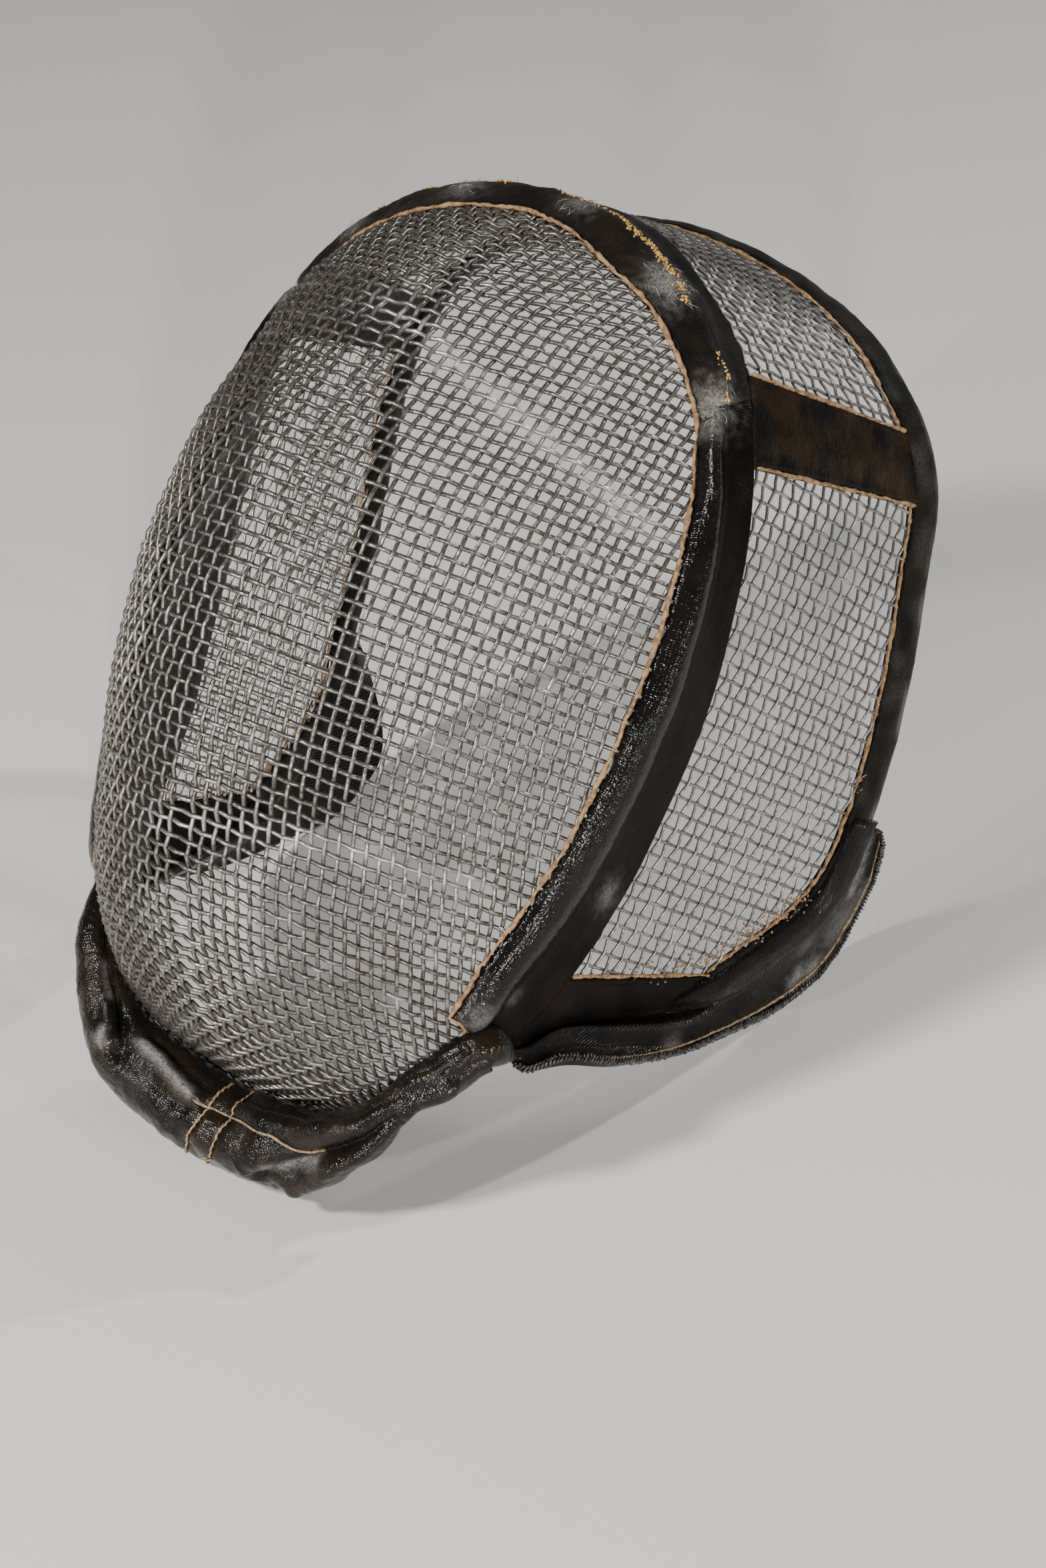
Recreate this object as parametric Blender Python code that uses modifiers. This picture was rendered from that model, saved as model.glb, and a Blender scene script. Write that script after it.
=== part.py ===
"""An old fencing mask: woven steel face, side and crown mesh, black oilcloth rolls and bindings."""

import math

import bpy
from mathutils import Matrix, Vector

# The mask is modelled in its own frame: X to the wearer's left, Y from face to nape, Z up the
# face, with the origin at the middle of the face mesh. It is then leaned back until the chin
# roll and both neck wings touch the floor. All lengths are in metres.

# Face opening and face mesh
FACE_HALF_WIDTH = 0.0935
CROWN_RISE = 0.136
CHIN_DROP = 0.1465
SIDE_DEPTH = 0.0765
CROWN_DEPTH = 0.0745
CHIN_DEPTH = 0.108
MESH_THICKNESS = 0.0024
GAP_PITCH_FACE = 0.0252
GAP_BAR = 0.0064
GAP_EDGE_MARGIN = 0.005

# Side wall behind the face opening
REAR_HALF_WIDTH = 0.108
MASK_DEPTH = 0.210
REAR_RISE = 0.161

# Black leather-cloth pieces
LEATHER = 0.0026
CHEEK_BULGE = 0.0068
CHEEK_INSIDE = 0.0042
CROWN_RIDGE = 0.0058
BINDING_WIDTH = 0.0125
BINDING_BEAD = 0.0052
STRAP_THICKNESS = 0.0032
WING_ROLL = 0.0066
WING_FLAP = 0.0034
WING_WELT = 0.0042
CHIN_RADIUS_MIDDLE = 0.0155
CHIN_RADIUS_END = 0.0062
CLEARANCE = 0.0003

# Face section from the centre line to the opening: how far out, how far back
SECTION = (
    {"out": 0.000, "back": 0.000},
    {"out": 0.135, "back": 0.014},
    {"out": 0.265, "back": 0.058},
    {"out": 0.386, "back": 0.128},
    {"out": 0.495, "back": 0.222},
    {"out": 0.591, "back": 0.337},
    {"out": 0.675, "back": 0.467},
    {"out": 0.749, "back": 0.605},
    {"out": 0.819, "back": 0.745},
    {"out": 0.896, "back": 0.880},
    {"out": 1.000, "back": 1.000},
    {"out": 1.100, "back": 1.080},
)

# Centre line of the face, upward to the crown and downward to the chin
BROW = (
    {"along": 0.000, "back": 0.000},
    {"along": 0.309, "back": 0.070},
    {"along": 0.595, "back": 0.281},
    {"along": 0.730, "back": 0.423},
    {"along": 0.840, "back": 0.620},
    {"along": 0.920, "back": 0.790},
    {"along": 1.000, "back": 1.000},
)
JAW = (
    {"along": 0.000, "back": 0.000},
    {"along": 0.287, "back": 0.049},
    {"along": 0.552, "back": 0.196},
    {"along": 0.675, "back": 0.306},
    {"along": 0.775, "back": 0.434},
    {"along": 0.870, "back": 0.593},
    {"along": 0.937, "back": 0.759},
    {"along": 0.986, "back": 0.950},
    {"along": 1.000, "back": 1.000},
)

# Edge of the face opening from the crown down to the chin, as shares of half width and rise
OPENING = (
    {"name": "crown", "out": 0.000, "up": 1.000},
    {"name": "crown", "out": 0.203, "up": 0.976},
    {"name": "crown", "out": 0.396, "up": 0.921},
    {"name": "brow", "out": 0.561, "up": 0.868},
    {"name": "brow", "out": 0.690, "up": 0.790},
    {"name": "temple", "out": 0.797, "up": 0.691},
    {"name": "temple", "out": 0.866, "up": 0.570},
    {"name": "ear", "out": 0.926, "up": 0.436},
    {"name": "ear", "out": 0.973, "up": 0.301},
    {"name": "ear", "out": 0.996, "up": 0.151},
    {"name": "cheek", "out": 1.000, "up": 0.000},
    {"name": "cheek", "out": 0.976, "up": -0.176},
    {"name": "cheek", "out": 0.938, "up": -0.307},
    {"name": "jaw", "out": 0.832, "up": -0.519},
    {"name": "jaw", "out": 0.756, "up": -0.676},
    {"name": "chin", "out": 0.711, "up": -0.744},
    {"name": "chin", "out": 0.638, "up": -0.802},
    {"name": "chin", "out": 0.545, "up": -0.874},
    {"name": "chin", "out": 0.428, "up": -0.934},
    {"name": "chin", "out": 0.235, "up": -0.980},
    {"name": "chin", "out": 0.000, "up": -1.000},
)
JAW_ROW = 14
CHIN_ROW = 20

# Side wall, a row for each row of OPENING down to the jaw: where the mesh begins behind the
# band, and where it ends at the rear binding. Shares of rear half width, mask depth, rear rise.
WALL = (
    {"front": (0.000, 0.457, 0.916), "rear": (0.000, 0.752, 0.993)},
    {"front": (0.176, 0.457, 0.910), "rear": (0.194, 0.752, 0.980)},
    {"front": (0.352, 0.457, 0.879), "rear": (0.407, 0.760, 0.949)},
    {"front": (0.509, 0.460, 0.814), "rear": (0.644, 0.771, 0.882)},
    {"front": (0.648, 0.460, 0.742), "rear": (0.806, 0.795, 0.795)},
    {"front": (0.759, 0.462, 0.652), "rear": (0.907, 0.826, 0.708)},
    {"front": (0.844, 0.469, 0.520), "rear": (0.964, 0.854, 0.606)},
    {"front": (0.875, 0.499, 0.386), "rear": (0.984, 0.881, 0.481)},
    {"front": (0.881, 0.523, 0.266), "rear": (0.996, 0.921, 0.342)},
    {"front": (0.880, 0.548, 0.131), "rear": (0.999, 0.964, 0.176)},
    {"front": (0.868, 0.563, -0.005), "rear": (0.996, 0.989, 0.002)},
    {"front": (0.843, 0.570, -0.167), "rear": (0.973, 1.000, -0.129)},
    {"front": (0.819, 0.571, -0.289), "rear": (0.942, 0.960, -0.239)},
    {"front": (0.781, 0.545, -0.474), "rear": (0.879, 0.852, -0.394)},
    {"front": (0.697, 0.522, -0.647), "rear": (0.883, 0.887, -0.442)},
)

# Where the pieces end along the rows
TEMPLE_ROW = 5.1
STRAP_TOP_ROW = 4.7
STRAP_BOTTOM_ROW = 6.0
EAR_BOTTOM_ROW = 13.0

# Neck wing, from the jaw corner round to its rear end. The hem runs along the lower edge of the
# jaw panel, at a share across the wall, and then along the outer edge of the rear binding, at a
# row of the wall. The free edge is given as shares of rear half width, mask depth and rear rise.
WING = (
    {"edge": "jaw", "at": 1.03, "free": (0.740, 0.551, -0.685), "fullness": 0.55},
    {"edge": "jaw", "at": 1.22, "free": (0.815, 0.598, -0.633), "fullness": 0.90},
    {"edge": "jaw", "at": 1.48, "free": (0.860, 0.711, -0.611), "fullness": 1.00},
    {"edge": "jaw", "at": 1.74, "free": (0.881, 0.852, -0.558), "fullness": 1.00},
    {"edge": "rear", "at": 12.98, "free": (0.890, 0.986, -0.478), "fullness": 1.00},
    {"edge": "rear", "at": 12.30, "free": (0.898, 1.114, -0.389), "fullness": 1.00},
    {"edge": "rear", "at": 11.60, "free": (0.923, 1.192, -0.266), "fullness": 0.95},
    {"edge": "rear", "at": 10.90, "free": (0.959, 1.179, -0.150), "fullness": 0.80},
    {"edge": "rear", "at": 10.20, "free": (1.021, 1.118, -0.032), "fullness": 0.55},
)

# Band sections: how far across from the face side, and how far each skin stands off the wall,
# as shares of the bulge outside and inside
CHEEK_SECTION = (
    {"across": 0.00, "outside": 0.20, "inside": 0.20},
    {"across": 0.05, "outside": 0.62, "inside": 0.55},
    {"across": 0.13, "outside": 0.93, "inside": 0.88},
    {"across": 0.21, "outside": 1.00, "inside": 1.00},
    {"across": 0.29, "outside": 0.90, "inside": 0.88},
    {"across": 0.36, "outside": 0.62, "inside": 0.60},
    {"across": 0.42, "outside": 0.30, "inside": 0.36},
    {"across": 0.55, "outside": 0.19, "inside": 0.31},
    {"across": 1.00, "outside": 0.19, "inside": 0.31},
)
CROWN_SECTION = (
    {"across": 0.00, "outside": 0.25, "inside": 0.30},
    {"across": 0.16, "outside": 0.52, "inside": 0.35},
    {"across": 0.34, "outside": 0.92, "inside": 0.40},
    {"across": 0.46, "outside": 1.00, "inside": 0.40},
    {"across": 0.60, "outside": 0.80, "inside": 0.38},
    {"across": 0.80, "outside": 0.42, "inside": 0.34},
    {"across": 1.00, "outside": 0.24, "inside": 0.30},
)
BINDING_SECTION = (
    {"across": 0.00, "outside": 0.36, "inside": 0.36},
    {"across": 0.35, "outside": 0.62, "inside": 0.58},
    {"across": 0.70, "outside": 0.62, "inside": 0.60},
    {"across": 0.92, "outside": 0.42, "inside": 0.42},
    {"across": 1.00, "outside": 0.15, "inside": 0.15},
)

WING_SIZES = {"roll": WING_ROLL, "flap": WING_FLAP, "welt": WING_WELT}
WING_SECTION = (
    {"across": 0.00, "part": "roll", "outside": 0.30, "inside": 0.25},
    {"across": 0.10, "part": "roll", "outside": 0.80, "inside": 0.45},
    {"across": 0.25, "part": "roll", "outside": 1.00, "inside": 0.50},
    {"across": 0.40, "part": "roll", "outside": 0.72, "inside": 0.40},
    {"across": 0.55, "part": "flap", "outside": 0.62, "inside": 0.50},
    {"across": 0.84, "part": "flap", "outside": 0.50, "inside": 0.50},
    {"across": 0.92, "part": "welt", "outside": 0.60, "inside": 0.55},
    {"across": 1.00, "part": "welt", "outside": 0.30, "inside": 0.30},
)

# Chin roll from the jaw corner to the middle: share of the full radius, how much the twisted
# cloth swells or pinches there, and how far it hangs clear of the mesh and forward of it, as
# shares of the middle radius
CHIN_FOLDS = (
    {"along": 0.00, "radius": 0.00, "swell": 1.00, "hang": 0.56, "forward": -0.72},
    {"along": 0.10, "radius": 0.04, "swell": 1.00, "hang": 0.30, "forward": -0.45},
    {"along": 0.22, "radius": 0.13, "swell": 1.00, "hang": 0.14, "forward": -0.32},
    {"along": 0.42, "radius": 0.31, "swell": 0.97, "hang": 0.10, "forward": -0.12},
    {"along": 0.58, "radius": 0.52, "swell": 0.97, "hang": 0.08, "forward": 0.06},
    {"along": 0.72, "radius": 0.76, "swell": 1.03, "hang": 0.04, "forward": 0.22},
    {"along": 0.86, "radius": 0.94, "swell": 1.02, "hang": 0.00, "forward": 0.36},
    {"along": 1.00, "radius": 1.00, "swell": 0.97, "hang": 0.00, "forward": 0.42},
)

COLOURS = {
    "steel": {"colour": (0.30, 0.28, 0.25, 1), "roughness": 0.42, "metallic": 1.0},
    "oilcloth": {"colour": (0.012, 0.010, 0.009, 1), "roughness": 0.22, "metallic": 0.0},
    "strap": {"colour": (0.028, 0.020, 0.012, 1), "roughness": 0.45, "metallic": 0.0},
    "worn": {"colour": (0.020, 0.017, 0.015, 1), "roughness": 0.60, "metallic": 0.0},
}


def clear_scene():
    for thing in list(bpy.data.objects):
        bpy.data.objects.remove(thing, do_unlink=True)


def make_collection(name):
    made = bpy.data.collections.new(name)
    bpy.context.scene.collection.children.link(made)
    return made


def make_material(name, look):
    material = bpy.data.materials.new(name)
    material.use_nodes = True
    shader = material.node_tree.nodes["Principled BSDF"]
    shader.inputs["Base Color"].default_value = look["colour"]
    shader.inputs["Roughness"].default_value = look["roughness"]
    shader.inputs["Metallic"].default_value = look["metallic"]
    return material


def through(values, place):
    """A smooth curve through evenly numbered values, numbers or vectors."""
    last = len(values) - 1
    place = max(0.0, min(float(place), float(last)))
    row = min(int(place), last - 1)
    part = place - row
    here = values[row]
    there = values[row + 1]
    before = values[row - 1] if row > 0 else here * 2 - there
    after = values[row + 2] if row + 2 <= last else there * 2 - here
    return 0.5 * (
        here * 2
        + (there - before) * part
        + (before * 2 - here * 5 + there * 4 - after) * part**2
        + (here * 3 - before - there * 3 + after) * part**3
    )


def look_up(table, key, value, column):
    """The named column of a table at a value of its key column, by a smooth curve."""
    keys = [row[key] for row in table]
    value = max(keys[0], min(value, keys[-1]))
    row = max(i for i in range(len(keys) - 1) if keys[i] <= value)
    place = row + (value - keys[row]) / (keys[row + 1] - keys[row])
    return through([r[column] for r in table], place)


def face_back(x, z):
    """How far back the face mesh lies: its section and its centre line added together."""
    across = SIDE_DEPTH * look_up(SECTION, "out", abs(x) / FACE_HALF_WIDTH, "back")
    if z >= 0:
        return across + CROWN_DEPTH * look_up(BROW, "along", z / CROWN_RISE, "back")
    return across + CHIN_DEPTH * look_up(JAW, "along", -z / CHIN_DROP, "back")


def opening_xz(row):
    """Edge of the face opening, row 0 at the crown, negative rows on the wearer's right."""
    out = through([r["out"] for r in OPENING], abs(row)) * FACE_HALF_WIDTH
    up = through([r["up"] for r in OPENING], abs(row))
    height = up * (CROWN_RISE if up > 0 else CHIN_DROP)
    return math.copysign(out, row), height


def opening(row):
    x, z = opening_xz(row)
    return Vector((x, face_back(x, z), z))


def wall_line(row, column):
    sizes = Vector((REAR_HALF_WIDTH, MASK_DEPTH, REAR_RISE))
    shares = through([Vector(r[column]) for r in WALL], abs(row))
    point = Vector(a * b for a, b in zip(shares, sizes))
    point.x = math.copysign(point.x, row)
    return point


def wall(row, across):
    """The side wall: 0 at the face opening, 1 where the rear mesh begins, 2 where it ends."""
    if across <= 1:
        return opening(row).lerp(wall_line(row, "front"), across)
    return wall_line(row, "front").lerp(wall_line(row, "rear"), across - 1)


def wall_frame(row, across):
    """Point, rearward direction and outward normal of the side wall."""
    step = 0.02
    low = max(-JAW_ROW, row - step)
    high = min(JAW_ROW, row + step)
    along = (wall(high, across) - wall(low, across)).normalized()
    edge = 0.001
    part = (0, 1) if across < 1 else (1, 2)
    first = max(part[0] + edge, across - step)
    second = min(part[1] - edge, across + step)
    rearward = (wall(row, second) - wall(row, first)).normalized()
    normal = along.cross(rearward).normalized()
    normal = normal if normal.dot(Vector((math.copysign(1, row), 0, 1))) > 0 else -normal
    return wall(row, across), rearward, normal


def steps(first, last, count):
    return [first + (last - first) * i / count for i in range(count + 1)]


def make_object(name, points, faces, material, target):
    mesh = bpy.data.meshes.new(name)
    mesh.from_pydata([tuple(p) for p in points], [], faces)
    mesh.validate()
    mesh.update()
    made = bpy.data.objects.new(name, mesh)
    target.objects.link(made)
    made.data.materials.append(material)
    return made


def outward(made):
    """Turns the faces of a closed mesh outward."""
    volume = sum(
        made.data.vertices[f.vertices[0]].co.dot(
            made.data.vertices[f.vertices[i]].co.cross(made.data.vertices[f.vertices[i + 1]].co)
        )
        for f in made.data.polygons
        for i in range(1, len(f.vertices) - 1)
    )
    if volume < 0:
        made.data.flip_normals()
    return made


def loft(name, rings, material, target):
    """A closed solid through a list of rings with the same number of points."""
    size = len(rings[0])
    points = [p for ring in rings for p in ring]
    faces = [
        (
            i * size + k,
            i * size + (k + 1) % size,
            (i + 1) * size + (k + 1) % size,
            (i + 1) * size + k,
        )
        for i in range(len(rings) - 1)
        for k in range(size)
    ]
    faces.append(tuple(range(size - 1, -1, -1)))
    faces.append(tuple((len(rings) - 1) * size + k for k in range(size)))
    return outward(make_object(name, points, faces, material, target))


def sheet(name, rows, open_cells, thickness, material, target):
    """A walled sheet over a grid of points, with the named cells cut through."""
    width = len(rows[0])
    points = [p for row in rows for p in row]
    faces = [
        (i * width + k, i * width + k + 1, (i + 1) * width + k + 1, (i + 1) * width + k)
        for i in range(len(rows) - 1)
        for k in range(width - 1)
        if (i, k) not in open_cells
    ]
    made = make_object(name, points, faces, material, target)
    solid = made.modifiers.new("thickness", "SOLIDIFY")
    solid.thickness = thickness
    solid.offset = 0
    solid.use_even_offset = True
    return made


def mirrored(source, name, target):
    made = source.copy()
    made.data = source.data.copy()
    made.name = name
    made.data.name = name
    made.data.transform(Matrix.Scale(-1, 4, (1, 0, 0)))
    made.data.flip_normals()
    target.objects.link(made)
    return made


def bar_places(first, last, gaps, bar):
    """Grid lines with a narrow bar on each side of every gap, for gaps in a row."""
    pitch = (last - first - bar) / gaps
    places = [first]
    for i in range(gaps):
        places.append(first + bar + pitch * i)
        places.append(first + pitch * (i + 1))
    places.append(last)
    return places


def fine(lines, parts):
    """Splits every second interval, the open ones, so that a curved panel stays round."""
    out = [lines[0]]
    for a, b in zip(lines, lines[1:]):
        out.extend(steps(a, b, parts)[1:])
    return out


def face_mesh(steel, target):
    """The bowl of the face, a domed sheet with square gaps cut through from the front."""
    inset = CLEARANCE * 3
    rim_rows = steps(-CHIN_ROW, CHIN_ROW, 48)[:-1]
    rings = 6
    points = [Vector((0, 0, 0))]
    for k in range(1, rings + 1):
        share = (k / rings) ** 0.85
        for row in rim_rows:
            x, z = opening_xz(row)
            reach = math.hypot(x, z)
            pull = share * (reach - inset) / reach
            points.append(Vector((x * pull, face_back(x * pull, z * pull), z * pull)))
    count = len(rim_rows)
    faces = [(0, 1 + i, 1 + (i + 1) % count) for i in range(count)]
    for k in range(rings - 1):
        base = 1 + k * count
        for i in range(count):
            j = (i + 1) % count
            faces.append((base + i, base + count + i, base + count + j, base + j))
    made = make_object("face_mesh", points, faces, steel, target)
    solid = made.modifiers.new("thickness", "SOLIDIFY")
    solid.thickness = MESH_THICKNESS
    solid.offset = 0
    cut = made.modifiers.new("gaps", "BOOLEAN")
    cut.operation = "DIFFERENCE"
    cut.solver = "EXACT"
    cut.object = face_gaps()
    return made


def inside_opening(x, z, margin):
    """True where a point lies inside the face opening by at least the margin."""
    edge = [opening_xz(row) for row in steps(0, CHIN_ROW, 80)]
    crossing = [e for e, f in zip(edge, edge[1:]) if (e[1] - z) * (f[1] - z) <= 0]
    if not crossing:
        return False
    clear = min(math.hypot(abs(x) - ex, z - ez) for ex, ez in edge)
    return abs(x) < min(e[0] for e in crossing) and clear > margin


def face_gaps():
    """Square posts that cut the gaps, on a grid centred on the face."""
    half = (GAP_PITCH_FACE - GAP_BAR) / 2
    reach = int(CHIN_DROP / GAP_PITCH_FACE) + 1
    points = []
    faces = []
    for i in range(-reach, reach + 1):
        for k in range(-reach, reach + 1):
            x = i * GAP_PITCH_FACE
            z = k * GAP_PITCH_FACE
            corners = [(x + a * half, z + b * half) for a in (-1, 1) for b in (-1, 1)]
            if not all(inside_opening(cx, cz, GAP_EDGE_MARGIN) for cx, cz in corners):
                continue
            base = len(points)
            for y in (-0.02, MASK_DEPTH):
                for a, b in ((-1, -1), (1, -1), (1, 1), (-1, 1)):
                    points.append(Vector((x + a * half, y, z + b * half)))
            quads = ((0, 1, 2, 3), (7, 6, 5, 4), (0, 4, 5, 1), (1, 5, 6, 2), (2, 6, 7, 3), (3, 7, 4, 0))
            faces.extend(tuple(base + n for n in quad) for quad in quads)
    cutters = bpy.data.collections["cutters"]
    made = make_object("gap_cutters", points, faces, bpy.data.materials["steel"], cutters)
    return outward(made)


def band_ring(row, section, outside, inside, first, last):
    """Closed ring round a band: up the outer skin and back along the inner skin."""
    outer = []
    inner = []
    for entry in section:
        across = first + (last - first) * entry["across"]
        point, _, normal = wall_frame(row, across)
        outer.append(point + normal * outside * entry["outside"])
        inner.append(point - normal * inside * entry["inside"])
    return outer + inner[::-1]


def across_gap(row):
    """The clearance as a share of the band's width at this row."""
    width = (wall_line(row, "front") - opening(row)).length
    return CLEARANCE / width


def crown_trim(material, target):
    rings = []
    for row in steps(-TEMPLE_ROW, TEMPLE_ROW, 22):
        gap = across_gap(row)
        rings.append(band_ring(row, CROWN_SECTION, CROWN_RIDGE, LEATHER * 1.6, gap, 1 - gap))
    return loft("crown_trim", rings, material, target)


def cheek_roll(material, target):
    """The padded roll down one cheek, rounded off at the temple and at the jaw."""
    first = TEMPLE_ROW + 0.03
    last = JAW_ROW
    ends = ((0.00, 0.45), (0.012, 0.72), (0.035, 0.93), (0.07, 1.0))
    places = [p for p, _ in ends] + steps(0.10, 0.90, 12) + [1 - p for p, _ in reversed(ends)]
    fullness = dict(ends)
    rings = []
    for place in places:
        row = first + (last - first) * place
        full = fullness.get(place, fullness.get(round(1 - place, 6), 1.0))
        gap = across_gap(row)
        bulge = CHEEK_BULGE * full
        inner = CHEEK_INSIDE * full
        rings.append(band_ring(row, CHEEK_SECTION, bulge, inner, gap, 1 - gap))
    return loft("cheek_roll_left", rings, material, target)


def rear_meshes(steel, target):
    """Crown mesh from strap to strap, and the ear mesh below the strap."""
    gap = 0.02
    crown_rows = fine(bar_places(-STRAP_TOP_ROW + gap, STRAP_TOP_ROW - gap, 8, 0.34), 2)
    crown_across = bar_places(1 + gap / 2, 2 - gap / 2, 2, 0.12)
    grid = [[wall(row, a) for a in crown_across] for row in crown_rows]
    gaps = {(i, k) for i in range(len(crown_rows) - 1) for k in (1, 3) if (i // 2) % 2 == 1}
    crown = sheet("crown_mesh", grid, gaps, MESH_THICKNESS, steel, target)
    ear_rows = bar_places(STRAP_BOTTOM_ROW + gap, EAR_BOTTOM_ROW - gap, 5, 0.30)
    ear_rows = fine(ear_rows, 2)
    ear_across = bar_places(1 + gap / 2, 2 - gap / 2, 3, 0.07)
    grid = [[wall(row, a) for a in ear_across] for row in ear_rows]
    gaps = {(i, k) for i in range(len(ear_rows) - 1) for k in (1, 3, 5) if (i // 2) % 2 == 1}
    ear = sheet("ear_mesh_left", grid, gaps, MESH_THICKNESS, steel, target)
    mirrored(ear, "ear_mesh_right", target)
    return crown


def wall_patch(name, first, last, thickness, rows, across, material, target):
    """A plain leather patch on the side wall between two rows."""
    gap = 0.011
    grid = [
        [wall(row, a) for a in steps(1 + gap, 2 - gap, across)]
        for row in steps(first + gap, last - gap, rows)
    ]
    made = sheet(name, grid, set(), thickness, material, target)
    return made


def rear_edge(row):
    """Point on the rear edge of the wall, the direction away from the mesh and the normal."""
    point, _, normal = wall_frame(row, 2)
    step = 0.05
    low = max(-EAR_BOTTOM_ROW, row - step)
    high = min(EAR_BOTTOM_ROW, row + step)
    along = (wall_line(high, "rear") - wall_line(low, "rear")).normalized()
    away = normal.cross(along).normalized()
    middle = Vector((0, wall_line(0, "front").y, 0))
    away = away if away.dot(point - middle) > 0 else -away
    return point, away, normal


def rear_binding(material, target):
    """The strip folded over the rear edge, from jaw to jaw over the crown."""
    rings = []
    for row in steps(-EAR_BOTTOM_ROW, EAR_BOTTOM_ROW, 40):
        point, away, normal = rear_edge(row)
        outer = []
        inner = []
        for entry in BINDING_SECTION:
            place = point + away * (CLEARANCE * 2 + BINDING_WIDTH * entry["across"])
            outer.append(place + normal * BINDING_BEAD * entry["outside"])
            inner.append(place - normal * BINDING_BEAD * entry["inside"])
        rings.append(outer + inner[::-1])
    return loft("rear_binding", rings, material, target)


def hem_point(edge, at):
    """A point on the edge that the neck wing is sewn to."""
    if edge == "jaw":
        return wall(JAW_ROW, at)
    point, away, _ = rear_edge(at)
    return point + away * (CLEARANCE * 2 + BINDING_WIDTH)


def neck_wing(material, target):
    """The padded flap under the ear: a roll along the hem, a flat flap and a sewn welt."""
    last = len(WING) - 1
    hems = [hem_point(r["edge"], r["at"]) for r in WING]
    size = Vector((REAR_HALF_WIDTH, MASK_DEPTH, REAR_RISE))
    frees = [Vector(a * b for a, b in zip(r["free"], size)) for r in WING]
    rings = []
    for row in steps(0, last, 16):
        hem = through(hems, row)
        free = through(frees, row)
        step = 0.05
        ahead = through(hems, min(last, row + step)) - through(hems, max(0, row - step))
        across = (free - hem).normalized()
        normal = ahead.cross(across).normalized()
        normal = normal if normal.x > 0 else -normal
        full = through([r["fullness"] for r in WING], row)
        start = hem + across * CLEARANCE * 6
        width = (free - start).length
        outer = []
        inner = []
        for entry in WING_SECTION:
            place = start + across * width * entry["across"]
            thick = WING_SIZES[entry["part"]] * full
            outer.append(place + normal * thick * entry["outside"])
            inner.append(place - normal * thick * entry["inside"])
        rings.append(outer + inner[::-1])
    return loft("neck_wing_left", rings, material, target)


def chin_roll(material, target):
    """The puffy roll under the chin, a closed tube that hangs from the lower edge of the mesh."""
    sides = 12
    spine = []
    radii = []
    rings = []
    span = CHIN_ROW - JAW_ROW
    for place in steps(-1, 1, 28):
        share = 1 - abs(place)
        row = CHIN_ROW - span * abs(place)
        side = 1 if place > 0 else -1
        radius = CHIN_RADIUS_END + (CHIN_RADIUS_MIDDLE - CHIN_RADIUS_END) * look_up(
            CHIN_FOLDS, "along", share, "radius"
        )
        radius *= look_up(CHIN_FOLDS, "along", share, "swell")
        x, z = opening_xz(row)
        step = 0.05
        ax, az = opening_xz(max(JAW_ROW, row - step))
        bx, bz = opening_xz(min(CHIN_ROW, row + step))
        tangent = Vector((bx - ax, 0, bz - az)).normalized()
        down = Vector((-tangent.z, 0, tangent.x))
        down = down if down.z < 0 else -down
        forward = CHIN_RADIUS_MIDDLE * look_up(CHIN_FOLDS, "along", share, "forward")
        hang = CHIN_RADIUS_MIDDLE * look_up(CHIN_FOLDS, "along", share, "hang")
        clear = radius + CLEARANCE * 3
        drop = hang + math.sqrt(max(clear**2 - forward**2, (0.5 * clear) ** 2))
        middle = Vector((x, face_back(x, z) - forward, z)) + down * drop
        middle.x *= side
        spine.append(middle)
        radii.append(radius)
    for i, (middle, radius) in enumerate(zip(spine, radii)):
        along = (spine[min(i + 1, len(spine) - 1)] - spine[max(i - 1, 0)]).normalized()
        lean = Vector((0, 1, 0)).cross(along).normalized()
        second = along.cross(lean).normalized()
        rings.append(
            [
                middle
                + lean * radius * math.cos(2 * math.pi * k / sides)
                + second * radius * math.sin(2 * math.pi * k / sides)
                for k in range(sides)
            ]
        )
    return loft("chin_roll", rings, material, target)


def lowest(made, lean):
    """Lowest height of an object's points once the mask leans back by an angle."""
    return min(v.co.z * math.cos(lean) - v.co.y * math.sin(lean) for v in made.data.vertices)


def rest_lean(chin, wing):
    """The lean at which the chin roll and the neck wings stand on one level."""
    low, high = math.radians(20), math.radians(65)
    for _ in range(40):
        middle = (low + high) / 2
        if lowest(chin, middle) < lowest(wing, middle):
            low = middle
        else:
            high = middle
    return (low + high) / 2


def set_down(target, chin, wing):
    """Leans the whole mask back and puts its lowest point on the floor, centred in plan."""
    rest = bpy.data.objects.new("mask_rest", None)
    target.objects.link(rest)
    lean = rest_lean(chin, wing)
    rest.rotation_euler = (-lean, 0, 0)
    pieces = [o for o in target.objects if o.type == "MESH"]
    for piece in pieces + list(bpy.data.collections["cutters"].objects):
        piece.parent = rest
    bpy.context.view_layer.update()
    graph = bpy.context.evaluated_depsgraph_get()
    corners = []
    for piece in pieces:
        shown = piece.evaluated_get(graph)
        corners.extend(shown.matrix_world @ v.co for v in shown.data.vertices)
    low = min(c.z for c in corners)
    middle = (min(c.y for c in corners) + max(c.y for c in corners)) / 2
    rest.location = (0, -middle, -low)
    bpy.context.view_layer.update()
    print("lean", round(math.degrees(lean), 3), "moved", [round(v, 5) for v in rest.location])


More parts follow.
